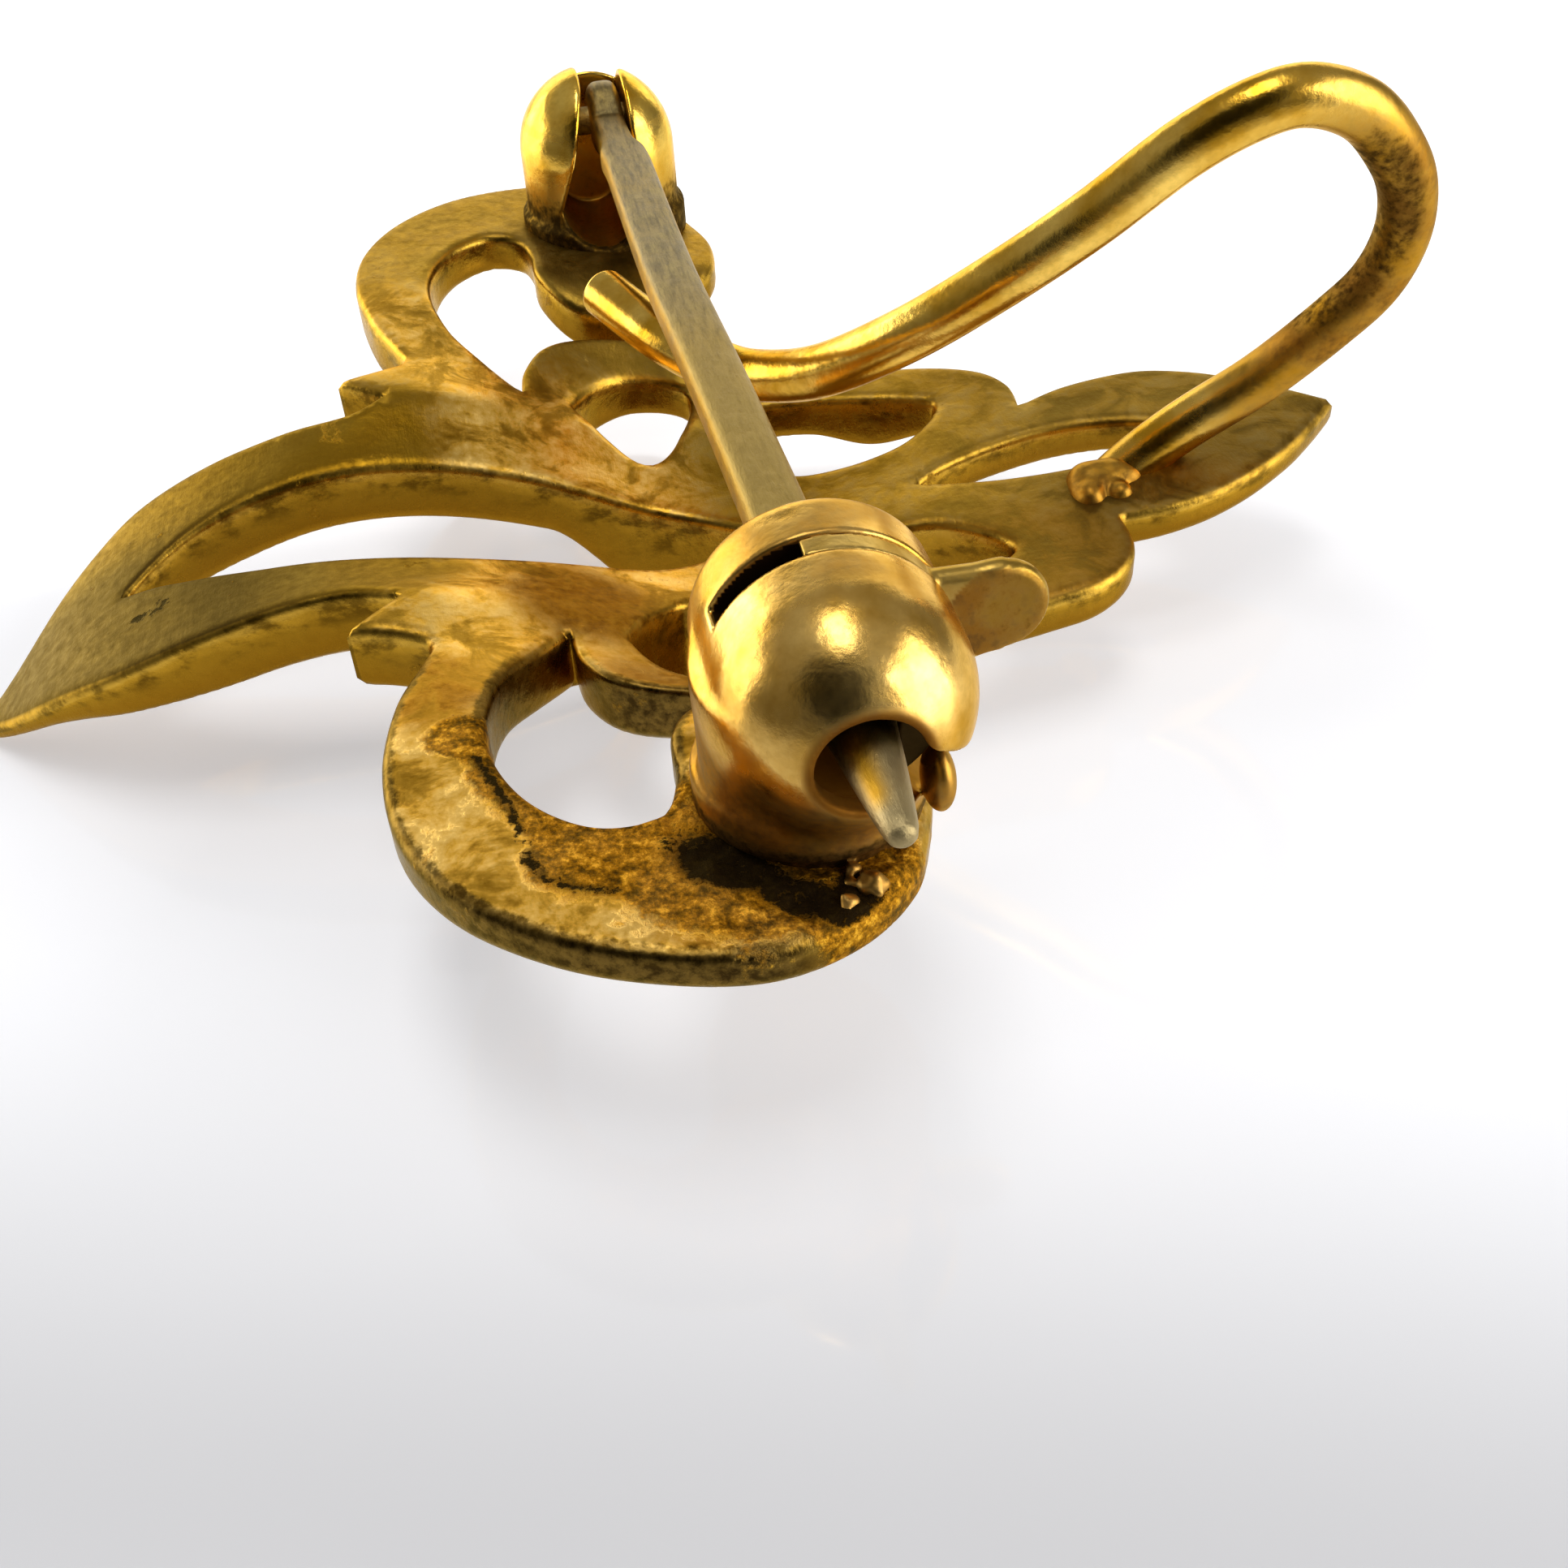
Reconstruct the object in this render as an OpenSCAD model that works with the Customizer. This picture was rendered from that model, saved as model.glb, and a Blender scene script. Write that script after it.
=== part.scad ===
// Watch pin: a fleur-de-lis brooch lying on its front, with a pin stem, a turning safety catch and a watch hook
// on its back. Drawn in millimetres with x along the brooch from the leaf's tip to the foot, y across it and z up
// from the surface that it lies on. placed() then moves everything to the row's own origin.

/* [Plate] */
// Thickness of the scrolls, the curls and the foot
plate_t = 0.75; // [0.65:0.05:0.85]
// Thickness of the leaf
leaf_t = 1.35; // [1.2:0.05:1.4]
// Height of the back surface over the table at the scrolls
scroll_h = 4.4; // [4.2:0.1:4.6]

/* [Wires] */
// Diameter of the watch hook's wire
hook_d = 1.0; // [0.8:0.1:1.1]
// Width of the pin stem
stem_w = 1.0; // [0.8:0.05:1.05]
// Height of the flattened pin stem
stem_h = 0.75; // [0.6:0.05:0.8]

/* [Hinge] */
// Radius of the round hinge housing
housing_r = 1.75; // [1.7:0.05:1.9]
// Radius of the cross pin that the stem turns on
rivet_r = 0.3; // [0.2:0.05:0.35]

/* [Catch] */
// Outer radius of the catch case
case_r = 1.82; // [1.78:0.02:1.9]
// Outer radius of the turning sleeve
sleeve_r = 1.25; // [1.1:0.05:1.35]
// Thickness of the lever
lever_t = 0.38; // [0.3:0.02:0.4]
// Angle that the lever turns through
lever_turn = 50; // [46:1:54]

/* [Hidden] */
$fn = 48;

gold = "#c9a044";
bright_gold = "#dcb04a";
grey_gold = "#a8946a";

// Middle of the whole object in plan
mid_x = 13.2;
mid_y = -0.35;

// Running clearance of the moving parts, and how far a cut runs past a face
gap = 0.05;
past = 0.5;

// Axis of the catch, and the height and the tip of the pin stem
stem_x = 14.22;
stem_z = 6.4;
stem_tip_y = -13.95;

// Hinge housing. The stem crosses the hinge nearer the leaf than it enters the catch, so it lies a little askew.
housing_x = 13.55;
housing_y = 11;
housing_mid_z = 5.8;
hinge_x = 13.93;
eye_r = 0.8;

// Catch case, with distances from its rear rim at catch_y towards the stem's tip
catch_y = -8.7;
case_straight = 2.2;
lever_at = 1.02;
cavity_depth = 2.9;
cavity_round_at = 2.4;
front_hole_r = 0.74;
sleeve_bore_r = 0.65;
mouth_w = 1.2;
mouth_angle = -40;
band_start = -33;
band_end = 100;
lever_end_x = 17.4;

// Heights of the back surface over the table. Columns: x, height near the edge, dip on the axis, height at the scrolls
back_rows = [
    [-1, 0.1, 0, scroll_h],
    [0, 0.6, 0, scroll_h],
    [1, 1.6, 0, scroll_h],
    [2, 2.4, 0.1, scroll_h],
    [3, 2.95, 0.1, scroll_h],
    [4.5, 3.6, 0.15, scroll_h],
    [6.5, 4.2, 0.5, scroll_h],
    [8, 4.3, 0.7, scroll_h],
    [9.5, 4.0, 0.7, scroll_h],
    [11, 3.45, 0.55, scroll_h - 0.1],
    [12, 3.0, 0.5, scroll_h - 0.2],
    [13, 2.6, 0.5, scroll_h - 0.3],
    [15, 2.3, 0.3, scroll_h - 0.5],
    [18, 2.6, 0, scroll_h - 0.8],
    [21.5, 2.85, 0, scroll_h - 0.8],
    [24.5, 3.05, 0, scroll_h - 0.8],
    [28, 3.1, 0, scroll_h - 0.8],
];

// Thickness along the axis. Columns: x, thickness
thickness_rows = [
    [-1, 0.4], [0, 0.45], [1, 0.6], [2, 0.8], [3, 1.05], [4.5, leaf_t], [11, leaf_t], [14, 1.0], [21, 0.9],
    [25, plate_t], [28, plate_t],
];

// Edges of the plate, each from the leaf towards the foot. The two halves differ a little, as handwork does.
// Columns: x, y on the side of the hinge, y on the side of the catch
leaf_edge = [
    [-0.6, 0, 0], [0.1, 0.7, 0.7], [1, 1.6, 1.5], [2, 2.35, 2.2], [3, 2.9, 2.7], [4.5, 3.1, 2.95],
    [6, 3.15, 3], [7.3, 3.2, 3.15], [8.1, 3.6, 3.55],
];
// Columns: x, y
scroll_edge = [
    [7.2, 4.4], [8.05, 4.7], [8.55, 5.05], [8.35, 5.7], [7.92, 6.8], [7.68, 8.4], [7.87, 10], [8.6, 11.4],
    [9.85, 12.5], [11.3, 13.1], [12.7, 13.25], [14, 12.8], [15, 11.9], [15.5, 10.8],
];
hinge_volute = [
    [15.5, 10.8], [15.8, 9.6], [15.6, 8.3], [14.8, 7.4], [13.6, 7], [12.3, 7.2], [11.65, 8.2], [11.6, 9.3],
    [11.35, 10.1], [10.7, 10.3], [9.9, 9.7], [9.4, 8.7], [9.3, 7.6], [9.6, 6.3], [10.2, 5.3], [10.85, 4.4],
];
catch_volute = [
    [15.5, 10.8], [15.8, 9.6], [15.6, 8.3], [14.8, 7.4], [13.6, 7.05], [12.6, 7.4], [12.05, 8.3], [11.95, 9.4],
    [11.6, 10.2], [10.7, 10.3], [9.9, 9.7], [9.4, 8.7], [9.3, 7.6], [9.6, 6.3], [10.2, 5.3], [10.85, 4.4],
];
hinge_curl = [
    [10.85, 4.4], [10.95, 5.2], [11.4, 6], [12.2, 6.4], [13.4, 6.45], [15, 5.9], [16.6, 5.2], [18, 4.8],
    [19.2, 4.5], [20.1, 4.1], [20.7, 3.6], [21, 2.9], [20.95, 2.1],
];
catch_curl = [
    [10.85, 4.4], [10.95, 5.2], [11.4, 6], [12.2, 6.4], [13.4, 6.45], [15, 5.9], [16.6, 5.2], [18, 4.8],
    [19.4, 4.65], [20.4, 4.5], [21.1, 4.05], [21.45, 3.4], [21.5, 2.55],
];
hinge_foot = [[20.95, 2.1], [22, 2.45], [23.4, 2.5], [24.4, 2.15], [25.4, 1.5], [26.2, 0.75], [26.9, 0]];
catch_foot = [[21.5, 2.55], [22.4, 2.6], [23.4, 2.45], [24.4, 2.05], [25.4, 1.4], [26.2, 0.7], [26.9, 0]];

// Edges of the slits. Columns: x, y on the side of the hinge, y on the side of the catch
leaf_slit = [
    [2.9, 0, 0], [3.6, 0.6, 0.3], [4.5, 1.1, 0.75], [6, 1.5, 1.2], [8, 1.65, 1.5], [10, 1.6, 1.5],
    [12, 1.3, 1.25], [13.6, 0.8, 0.8], [15, 0, 0],
];
foot_slit = [
    [18.2, 0, 0], [18.9, 0.4, 0.25], [20, 0.75, 0.5], [21.4, 0.9, 0.6], [22.8, 0.6, 0.4], [23.8, 0, 0],
];

// Edges of the openings that both halves have. Columns: x, y
curl_hole = [
    [11.85, 4.2], [12.4, 3.3], [13.15, 2.6], [13.9, 3.4], [14.4, 5.1], [13.3, 5.5], [12.4, 5.1], [11.85, 4.2],
];
lobe_hole = [
    [15.45, 3], [15.6, 4.2], [16.8, 4], [18, 3.55], [19, 3.1], [19.3, 2.75], [18.9, 2.1], [18.1, 1.5],
    [17, 1.35], [15.9, 1.7], [15.45, 3],
];

// Route of the watch hook's wire, from the solder on the foot round the loop to the free end. Columns: x, y, z
hook_route = [
    [21.3, -1.2, 1.9], [21.9, -1, 2.6], [23.1, -1, 3.5], [24.6, -1.2, 4.5], [25.7, -1.6, 5.7], [26.3, -1.8, 6.5],
    [26.45, -2.1, 7.5], [26.2, -2.4, 8.5], [25.7, -2.6, 9.3], [24.9, -2.8, 10.1], [23.9, -2.9, 10.5],
    [23, -2.9, 10.4], [21.9, -2.7, 9.8], [20.5, -2.3, 8.6], [19, -1.9, 7.5], [17.6, -1.2, 6.4], [16.3, 0, 5.3],
    [15.3, 1.3, 4.7], [14.6, 2, 4.7], [13.8, 3, 4.85], [12.8, 5, 5.1],
];
wire_sides = 12;

// Opening of the hinge housing seen from the catch: narrow where the stem lies, wide below. Columns: x, z
slot_edge = [
    [12.55, 4.55], [12.65, 4.25], [12.9, 4.15], [14.2, 4.15], [14.45, 4.25], [14.52, 4.55], [14.52, 8],
    [13.35, 8], [13.2, 7.3], [13, 6.8], [12.8, 6], [12.62, 5.2],
];

// Grid of the relief: number of cells along x and across y
grid_x0 = -1;
grid_x1 = 28;
grid_y1 = 14.35;
cells_x = 29;
cells_y = 28;

// Ring and chord helpers
function blend(t) = let (c = min(1, max(0, t))) c * c * (3 - 2 * c);
function column(rows, n) = [for (row = rows) [row[0], row[n]]];
function on_curve(p, i, t) =
    let (
        a = p[max(0, i - 1)],
        b = p[i],
        c = p[i + 1],
        d = p[min(len(p) - 1, i + 2)]
    )
    0.5 * (2 * b + (c - a) * t + (2 * a - 5 * b + 4 * c - d) * t * t + (3 * b - 3 * c + d - a) * t * t * t);
function smooth(p, steps) = [for (i = [0:len(p) - 2]) for (s = [0:steps - 1]) on_curve(p, i, s / steps)];
function mirrored(p) = [for (i = [len(p) - 1:-1:0]) if (p[i][1] > 0) [p[i][0], -p[i][1]]];
function closed_smooth(p) = concat(smooth(p, 3), [p[len(p) - 1]]);

// Height of the plate's back over the table
function back_z(x, y) =
    let (
        side = blend((abs(y) - 4.5) / 4),
        middle = 1 - pow(min(1, abs(y) / 3.5), 2),
        leaf = lookup(x, column(back_rows, 1)) - middle * lookup(x, column(back_rows, 2))
    )
    leaf * (1 - side) + lookup(x, column(back_rows, 3)) * side;

// How strongly the tie at the waist thickens the front, from 0 to 1
function tie(x, y) = (1 - blend((abs(x - 15.2) - 1.8) / 2.5)) * (1 - blend((abs(y) - 2.5) / 1.7));

// Height of the plate's front over the table. The tie reaches below the table, where the outline cuts it flat.
function front_z(x, y) =
    let (
        side = blend((abs(y) - 5) / 9),
        thickness = lookup(x, thickness_rows) * (1 - side) + plate_t * side
    )
    (back_z(x, y) - thickness) * (1 - tie(x, y)) - 0.3 * tie(x, y);

// Moves the drawing to the row's origin
module placed() {
    translate([-mid_x, -mid_y, 0]) children();
}

// Lays a shape drawn round z along the stem, with its start at y and its length towards the stem's tip
module along_stem(y) {
    translate([stem_x, y, stem_z]) rotate([90, 0, 0]) children();
}

// Slab between the back and the front surface, larger than the plate all round
module relief() {
    ny = cells_y + 1;
    count = (cells_x + 1) * ny;
    step_x = (grid_x1 - grid_x0) / cells_x;
    step_y = 2 * grid_y1 / cells_y;
    plan = [for (i = [0:cells_x]) for (j = [0:cells_y]) [grid_x0 + i * step_x, j * step_y - grid_y1]];
    tops = [for (p = plan) [p[0], p[1], back_z(p[0], p[1])]];
    bottoms = [for (p = plan) [p[0], p[1], front_z(p[0], p[1])]];
    back_faces = [
        for (i = [0:cells_x - 1]) for (j = [0:cells_y - 1])
            let (a = i * ny + j)
            each [[a, a + 1, a + ny + 1], [a, a + ny + 1, a + ny]]
    ];
    front_faces = [for (f = back_faces) [for (k = [2:-1:0]) f[k] + count]];
    end_faces = [
        for (j = [0:cells_y - 1])
            let (a = j, b = cells_x * ny + j)
            each [[a + 1, a, a + count, a + count + 1], [b, b + 1, b + count + 1, b + count]]
    ];
    side_faces = [
        for (i = [0:cells_x - 1])
            let (a = i * ny, b = i * ny + cells_y)
            each [[a, a + ny, a + ny + count, a + count], [b + ny, b, b + count, b + ny + count]]
    ];
    polyhedron(concat(tops, bottoms), concat(back_faces, front_faces, end_faces, side_faces), convexity = 8);
}

// Outline of the plate with its openings, seen from the back
module outline() {
    hinge_half = concat(
        closed_smooth(column(leaf_edge, 1)),
        smooth(scroll_edge, 3),
        smooth(hinge_volute, 3),
        smooth(hinge_curl, 3),
        closed_smooth(hinge_foot)
    );
    catch_half = concat(
        closed_smooth(column(leaf_edge, 2)),
        smooth(scroll_edge, 3),
        smooth(catch_volute, 3),
        smooth(catch_curl, 3),
        closed_smooth(catch_foot)
    );
    difference() {
        polygon(concat(hinge_half, mirrored(catch_half)));
        slit(leaf_slit);
        slit(foot_slit);
        for (side = [-1, 1]) {
            polygon([for (p = smooth(curl_hole, 3)) [p[0], side * p[1]]]);
            polygon([for (p = smooth(lobe_hole, 3)) [p[0], side * p[1]]]);
        }
    }
}

// A slit on the axis
module slit(rows) {
    polygon(concat(closed_smooth(column(rows, 1)), mirrored(closed_smooth(column(rows, 2)))));
}

// The pierced fleur-de-lis
module plate() {
    color(gold) intersection() {
        relief();
        linear_extrude(height = 8) outline();
    }
}

// The housing of the hinge, with a slot for the stem
module hinge_housing() {
    color(gold) difference() {
        union() {
            translate([housing_x, housing_y, 3.5]) cylinder(r = housing_r, h = housing_mid_z - 3.5);
            translate([housing_x, housing_y, housing_mid_z]) sphere(r = housing_r);
            translate([housing_x, housing_y, 3.9]) cylinder(r1 = housing_r + 0.25, r2 = housing_r, h = 0.7);
        }
        stem_slot();
        translate([housing_x - 3, housing_y, stem_z]) rotate([0, 90, 0]) cylinder(r = rivet_r + 0.01, h = 6);
    }
}

// The slot of the housing, open towards the catch and at the top
module stem_slot() {
    back_room = 1.15;
    translate([0, housing_y + back_room, 0]) rotate([90, 0, 0])
        linear_extrude(height = back_room + housing_r + past) polygon(slot_edge);
}

// The egg-shaped case of the catch on its pedestal
module catch_case() {
    color(bright_gold) difference() {
        union() {
            along_stem(catch_y) cylinder(r = case_r, h = case_straight);
            along_stem(catch_y - case_straight) sphere(r = case_r);
            translate([stem_x - 0.25, catch_y - 1.5, 3.6]) cylinder(r = 1.6, h = stem_z - 3.6);
            translate([stem_x - 0.45, catch_y - 1.35, 3.6]) cylinder(r = 1.75, h = 1.6);
        }
        along_stem(catch_y + past) cylinder(r = sleeve_r + gap, h = cavity_depth + past);
        along_stem(catch_y - cavity_round_at) sphere(r = sleeve_r + gap);
        along_stem(catch_y) cylinder(r = front_hole_r, h = 6);
        lever_slot();
        mouth();
    }
}

// The slot round the case that the lever moves in
module lever_slot() {
    sweep = band_end + lever_turn - band_start + 4;
    along_stem(catch_y - lever_at + 0.02) rotate([0, 0, band_start - 2])
        rotate_extrude(angle = sweep) translate([sleeve_r - 0.2, 0]) square([2, lever_t + 0.04]);
}

// The mouth that lets the stem spring out of the case
module mouth() {
    along_stem(catch_y + past) rotate([0, 0, mouth_angle]) translate([0, -mouth_w / 2, 0]) cube([3, mouth_w, 6]);
}

// The watch hook: a round wire swept along its route
module watch_hook() {
    path = concat(smooth(hook_route, 2), [hook_route[len(hook_route) - 1]]);
    count = len(path);
    rings = [for (i = [0:count - 1]) ring_at(path, i)];
    walls = [
        for (i = [0:count - 2]) for (k = [0:wire_sides - 1])
            let (a = i * wire_sides + k, b = i * wire_sides + (k + 1) % wire_sides)
            each [[a, b, b + wire_sides], [a, b + wire_sides, a + wire_sides]]
    ];
    ends = [
        [for (k = [wire_sides - 1:-1:0]) k],
        [for (k = [0:wire_sides - 1]) (count - 1) * wire_sides + k],
    ];
    color(bright_gold) polyhedron([for (r = rings) each r], concat(walls, ends), convexity = 6);
}

// One ring of the wire, square to the route, with its first point on the side that faces away from y
function ring_at(path, i) =
    let (
        ahead = path[min(len(path) - 1, i + 1)] - path[max(0, i - 1)],
        along = ahead / norm(ahead),
        across_raw = cross(along, [0, 1, 0]),
        across = across_raw / norm(across_raw),
        up = cross(across, along)
    )
    [
        for (k = [0:wire_sides - 1])
            let (t = 360 * k / wire_sides)
            path[i] + hook_d / 2 * (cos(t) * across + sin(t) * up)
    ];

// The plate with everything that is soldered to it
module brooch_body() {
    placed() {
        plate();
        hinge_housing();
        catch_case();
        watch_hook();
    }
}

// The cross pin in the housing's cheeks
module hinge_rivet() {
    half_len = sqrt(housing_r * housing_r - pow(stem_z - housing_mid_z + rivet_r, 2));
    placed() color(grey_gold) translate([housing_x - half_len, housing_y, stem_z]) rotate([0, 90, 0])
        cylinder(r = rivet_r, h = 2 * half_len);
}

// The pin stem: an eye on the rivet, a flattened wire and a pointed end
module pin_stem() {
    askew = atan((stem_x - hinge_x) / (housing_y - catch_y));
    placed() color(grey_gold) difference() {
        union() {
            translate([hinge_x - stem_w / 2, housing_y, stem_z]) rotate([0, 90, 0]) cylinder(r = eye_r, h = stem_w);
            translate([hinge_x, housing_y, stem_z]) rotate([90, 0, askew]) shank();
        }
        translate([hinge_x - 1, housing_y, stem_z]) rotate([0, 90, 0]) cylinder(r = rivet_r + gap, h = 2);
    }
}

// The flattened wire and its point, drawn along z from the hinge
module shank() {
    corner_r = 0.53;
    taper_r = 0.48;
    taper_len = 2.05;
    end_r = 0.16;
    straight = housing_y - stem_tip_y - taper_len;
    intersection() {
        cylinder(r = corner_r, h = straight);
        translate([-stem_w / 2, -stem_h / 2, 0]) cube([stem_w, stem_h, straight]);
    }
    translate([0, 0, straight - 0.1]) cylinder(r1 = taper_r, r2 = end_r, h = taper_len + 0.1);
}

// The turning sleeve with its lever
module catch_sleeve() {
    placed() color(bright_gold) difference() {
        union() {
            along_stem(catch_y - 0.05) cylinder(r = sleeve_r, h = cavity_depth - 0.15);
            along_stem(catch_y - lever_at) rotate([0, 0, band_start])
                rotate_extrude(angle = band_end - band_start) translate([sleeve_r - 0.1, 0])
                    square([case_r - sleeve_r + 0.07, lever_t]);
            along_stem(catch_y - lever_at) linear_extrude(height = lever_t) lever_shape();
        }
        along_stem(catch_y + past) cylinder(r = sleeve_bore_r, h = 6);
        along_stem(catch_y + past) rotate([0, 0, mouth_angle - lever_turn]) translate([0, -mouth_w / 2, 0])
            cube([3, mouth_w, 6]);
    }
}

// The tab of the lever, seen along the stem
module lever_shape() {
    end_r = 0.85;
    end_x = lever_end_x - stem_x - end_r;
    translate([end_x, 0.2]) circle(r = end_r);
    polygon([[1.1, 1], [end_x, 0.2 + end_r], [end_x + 0.75, -0.2], [end_x, 0.2 - end_r], [1.6, -0.95], [1.1, -0.6]]);
}

brooch_body();
hinge_rivet();
pin_stem();
catch_sleeve();
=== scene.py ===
"""Watch pin: the looks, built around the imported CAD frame.

Lengths are in millimetres, as in part.scad: x along the brooch from the leaf's tip, y across it (away from
the camera is +), z up from the surface.
"""
import math

import bpy
import numpy as np
from mathutils import Matrix, Vector, noise
from mathutils.geometry import delaunay_2d_cdt


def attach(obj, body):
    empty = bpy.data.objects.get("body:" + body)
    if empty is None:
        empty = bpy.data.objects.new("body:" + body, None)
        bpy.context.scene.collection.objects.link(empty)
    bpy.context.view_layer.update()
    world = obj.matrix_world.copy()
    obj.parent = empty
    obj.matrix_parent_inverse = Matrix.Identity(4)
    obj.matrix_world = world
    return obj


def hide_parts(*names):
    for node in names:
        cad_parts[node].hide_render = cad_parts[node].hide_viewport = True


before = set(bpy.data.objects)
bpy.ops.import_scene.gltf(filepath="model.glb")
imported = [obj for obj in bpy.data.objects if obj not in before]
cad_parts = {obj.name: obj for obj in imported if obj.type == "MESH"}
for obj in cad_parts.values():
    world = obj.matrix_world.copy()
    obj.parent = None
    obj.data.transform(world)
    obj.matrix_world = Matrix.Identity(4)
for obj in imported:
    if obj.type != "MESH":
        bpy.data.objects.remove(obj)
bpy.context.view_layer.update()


# Shared dimensions
PER_METRE = 1000
MID = np.array([13.2, -0.35, 0.0])
PLATE_T, LEAF_T = 0.75, 1.35
STEM_X, STEM_Z = 14.22, 6.4
STEM_W, STEM_H = 1.0, 0.75
TIP_Y = -13.95
HOUSING_X, HOUSING_Y = 13.55, 11.0
HOUSING_R, HOUSING_Z = 1.75, 5.8
CATCH_Y, CASE_R, CASE_LEN = -8.7, 1.82, 2.2
SLEEVE_R, BORE_R = 1.25, 0.65
LEVER_MID, LEVER_HALF = 1.21, 0.19
MOUTH_ANGLE, MOUTH_HALF, LEVER_TURN = -40, 0.6, 50

# The scrolls' height takes over from the leaf's here, across the brooch
SCROLLS_FROM, SCROLLS_RISE = 4.5, 4
CHANNEL_HALF = 3.5
THINNER_FROM, THINNER_WIDTH = 5, 9
# The raised tie at the waist, that the brooch lies on: its half size and its slopes, in x and y
TIE_X, TIE_DROP = 15.2, 0.3
TIE_HALF, TIE_SLOPE = (1.8, 2.5), (2.5, 1.7)

# Columns: x, height near the edge, dip on the axis, height at the scrolls
BACK = np.array([
    [-1, 0.1, 0, 4.4], [0, 0.6, 0, 4.4], [1, 1.6, 0, 4.4], [2, 2.4, 0.1, 4.4], [3, 2.95, 0.1, 4.4],
    [4.5, 3.6, 0.15, 4.4], [6.5, 4.2, 0.5, 4.4], [8, 4.3, 0.7, 4.4], [9.5, 4.0, 0.7, 4.4],
    [11, 3.45, 0.55, 4.3], [12, 3.0, 0.5, 4.2], [13, 2.6, 0.5, 4.1], [15, 2.3, 0.3, 3.9],
    [18, 2.6, 0, 3.6], [21.5, 2.85, 0, 3.6], [24.5, 3.05, 0, 3.6], [28, 3.1, 0, 3.6],
])
# Columns: x, thickness
THICK = np.array([
    [-1, 0.4], [0, 0.45], [1, 0.6], [2, 0.8], [3, 1.05], [4.5, LEAF_T], [11, LEAF_T], [14, 1.0], [21, 0.9],
    [25, PLATE_T], [28, PLATE_T],
])
# Columns: x, y on the side of the hinge, y on the side of the catch
LEAF_EDGE = np.array([
    [-0.6, 0, 0], [0.1, 0.7, 0.7], [1, 1.6, 1.5], [2, 2.35, 2.2], [3, 2.9, 2.7], [4.5, 3.1, 2.95],
    [6, 3.15, 3], [7.3, 3.2, 3.15], [8.1, 3.6, 3.55],
])
LEAF_SLIT = np.array([
    [2.9, 0, 0], [3.6, 0.6, 0.3], [4.5, 1.1, 0.75], [6, 1.5, 1.2], [8, 1.65, 1.5], [10, 1.6, 1.5],
    [12, 1.3, 1.25], [13.6, 0.8, 0.8], [15, 0, 0],
])
FOOT_SLIT = np.array([
    [18.2, 0, 0], [18.9, 0.4, 0.25], [20, 0.75, 0.5], [21.4, 0.9, 0.6], [22.8, 0.6, 0.4], [23.8, 0, 0],
])
# Columns: x, y
SCROLL_EDGE = [
    [7.2, 4.4], [8.05, 4.7], [8.55, 5.05], [8.35, 5.7], [7.92, 6.8], [7.68, 8.4], [7.87, 10], [8.6, 11.4],
    [9.85, 12.5], [11.3, 13.1], [12.7, 13.25], [14, 12.8], [15, 11.9], [15.5, 10.8],
]
HINGE_VOLUTE = [
    [15.5, 10.8], [15.8, 9.6], [15.6, 8.3], [14.8, 7.4], [13.6, 7], [12.3, 7.2], [11.65, 8.2], [11.6, 9.3],
    [11.35, 10.1], [10.7, 10.3], [9.9, 9.7], [9.4, 8.7], [9.3, 7.6], [9.6, 6.3], [10.2, 5.3], [10.85, 4.4],
]
CATCH_VOLUTE = [
    [15.5, 10.8], [15.8, 9.6], [15.6, 8.3], [14.8, 7.4], [13.6, 7.05], [12.6, 7.4], [12.05, 8.3],
    [11.95, 9.4], [11.6, 10.2], [10.7, 10.3], [9.9, 9.7], [9.4, 8.7], [9.3, 7.6], [9.6, 6.3], [10.2, 5.3],
    [10.85, 4.4],
]
HINGE_CURL = [
    [10.85, 4.4], [10.95, 5.2], [11.4, 6], [12.2, 6.4], [13.4, 6.45], [15, 5.9], [16.6, 5.2], [18, 4.8],
    [19.2, 4.5], [20.1, 4.1], [20.7, 3.6], [21, 2.9], [20.95, 2.1],
]
CATCH_CURL = [
    [10.85, 4.4], [10.95, 5.2], [11.4, 6], [12.2, 6.4], [13.4, 6.45], [15, 5.9], [16.6, 5.2], [18, 4.8],
    [19.4, 4.65], [20.4, 4.5], [21.1, 4.05], [21.45, 3.4], [21.5, 2.55],
]
HINGE_FOOT = [[20.95, 2.1], [22, 2.45], [23.4, 2.5], [24.4, 2.15], [25.4, 1.5], [26.2, 0.75], [26.9, 0]]
CATCH_FOOT = [[21.5, 2.55], [22.4, 2.6], [23.4, 2.45], [24.4, 2.05], [25.4, 1.4], [26.2, 0.7], [26.9, 0]]
CURL_HOLE = [
    [11.85, 4.2], [12.4, 3.3], [13.15, 2.6], [13.9, 3.4], [14.4, 5.1], [13.3, 5.5], [12.4, 5.1],
    [11.85, 4.2],
]
LOBE_HOLE = [
    [15.45, 3], [15.6, 4.2], [16.8, 4], [18, 3.55], [19, 3.1], [19.3, 2.75], [18.9, 2.1], [18.1, 1.5],
    [17, 1.35], [15.9, 1.7], [15.45, 3],
]
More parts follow.
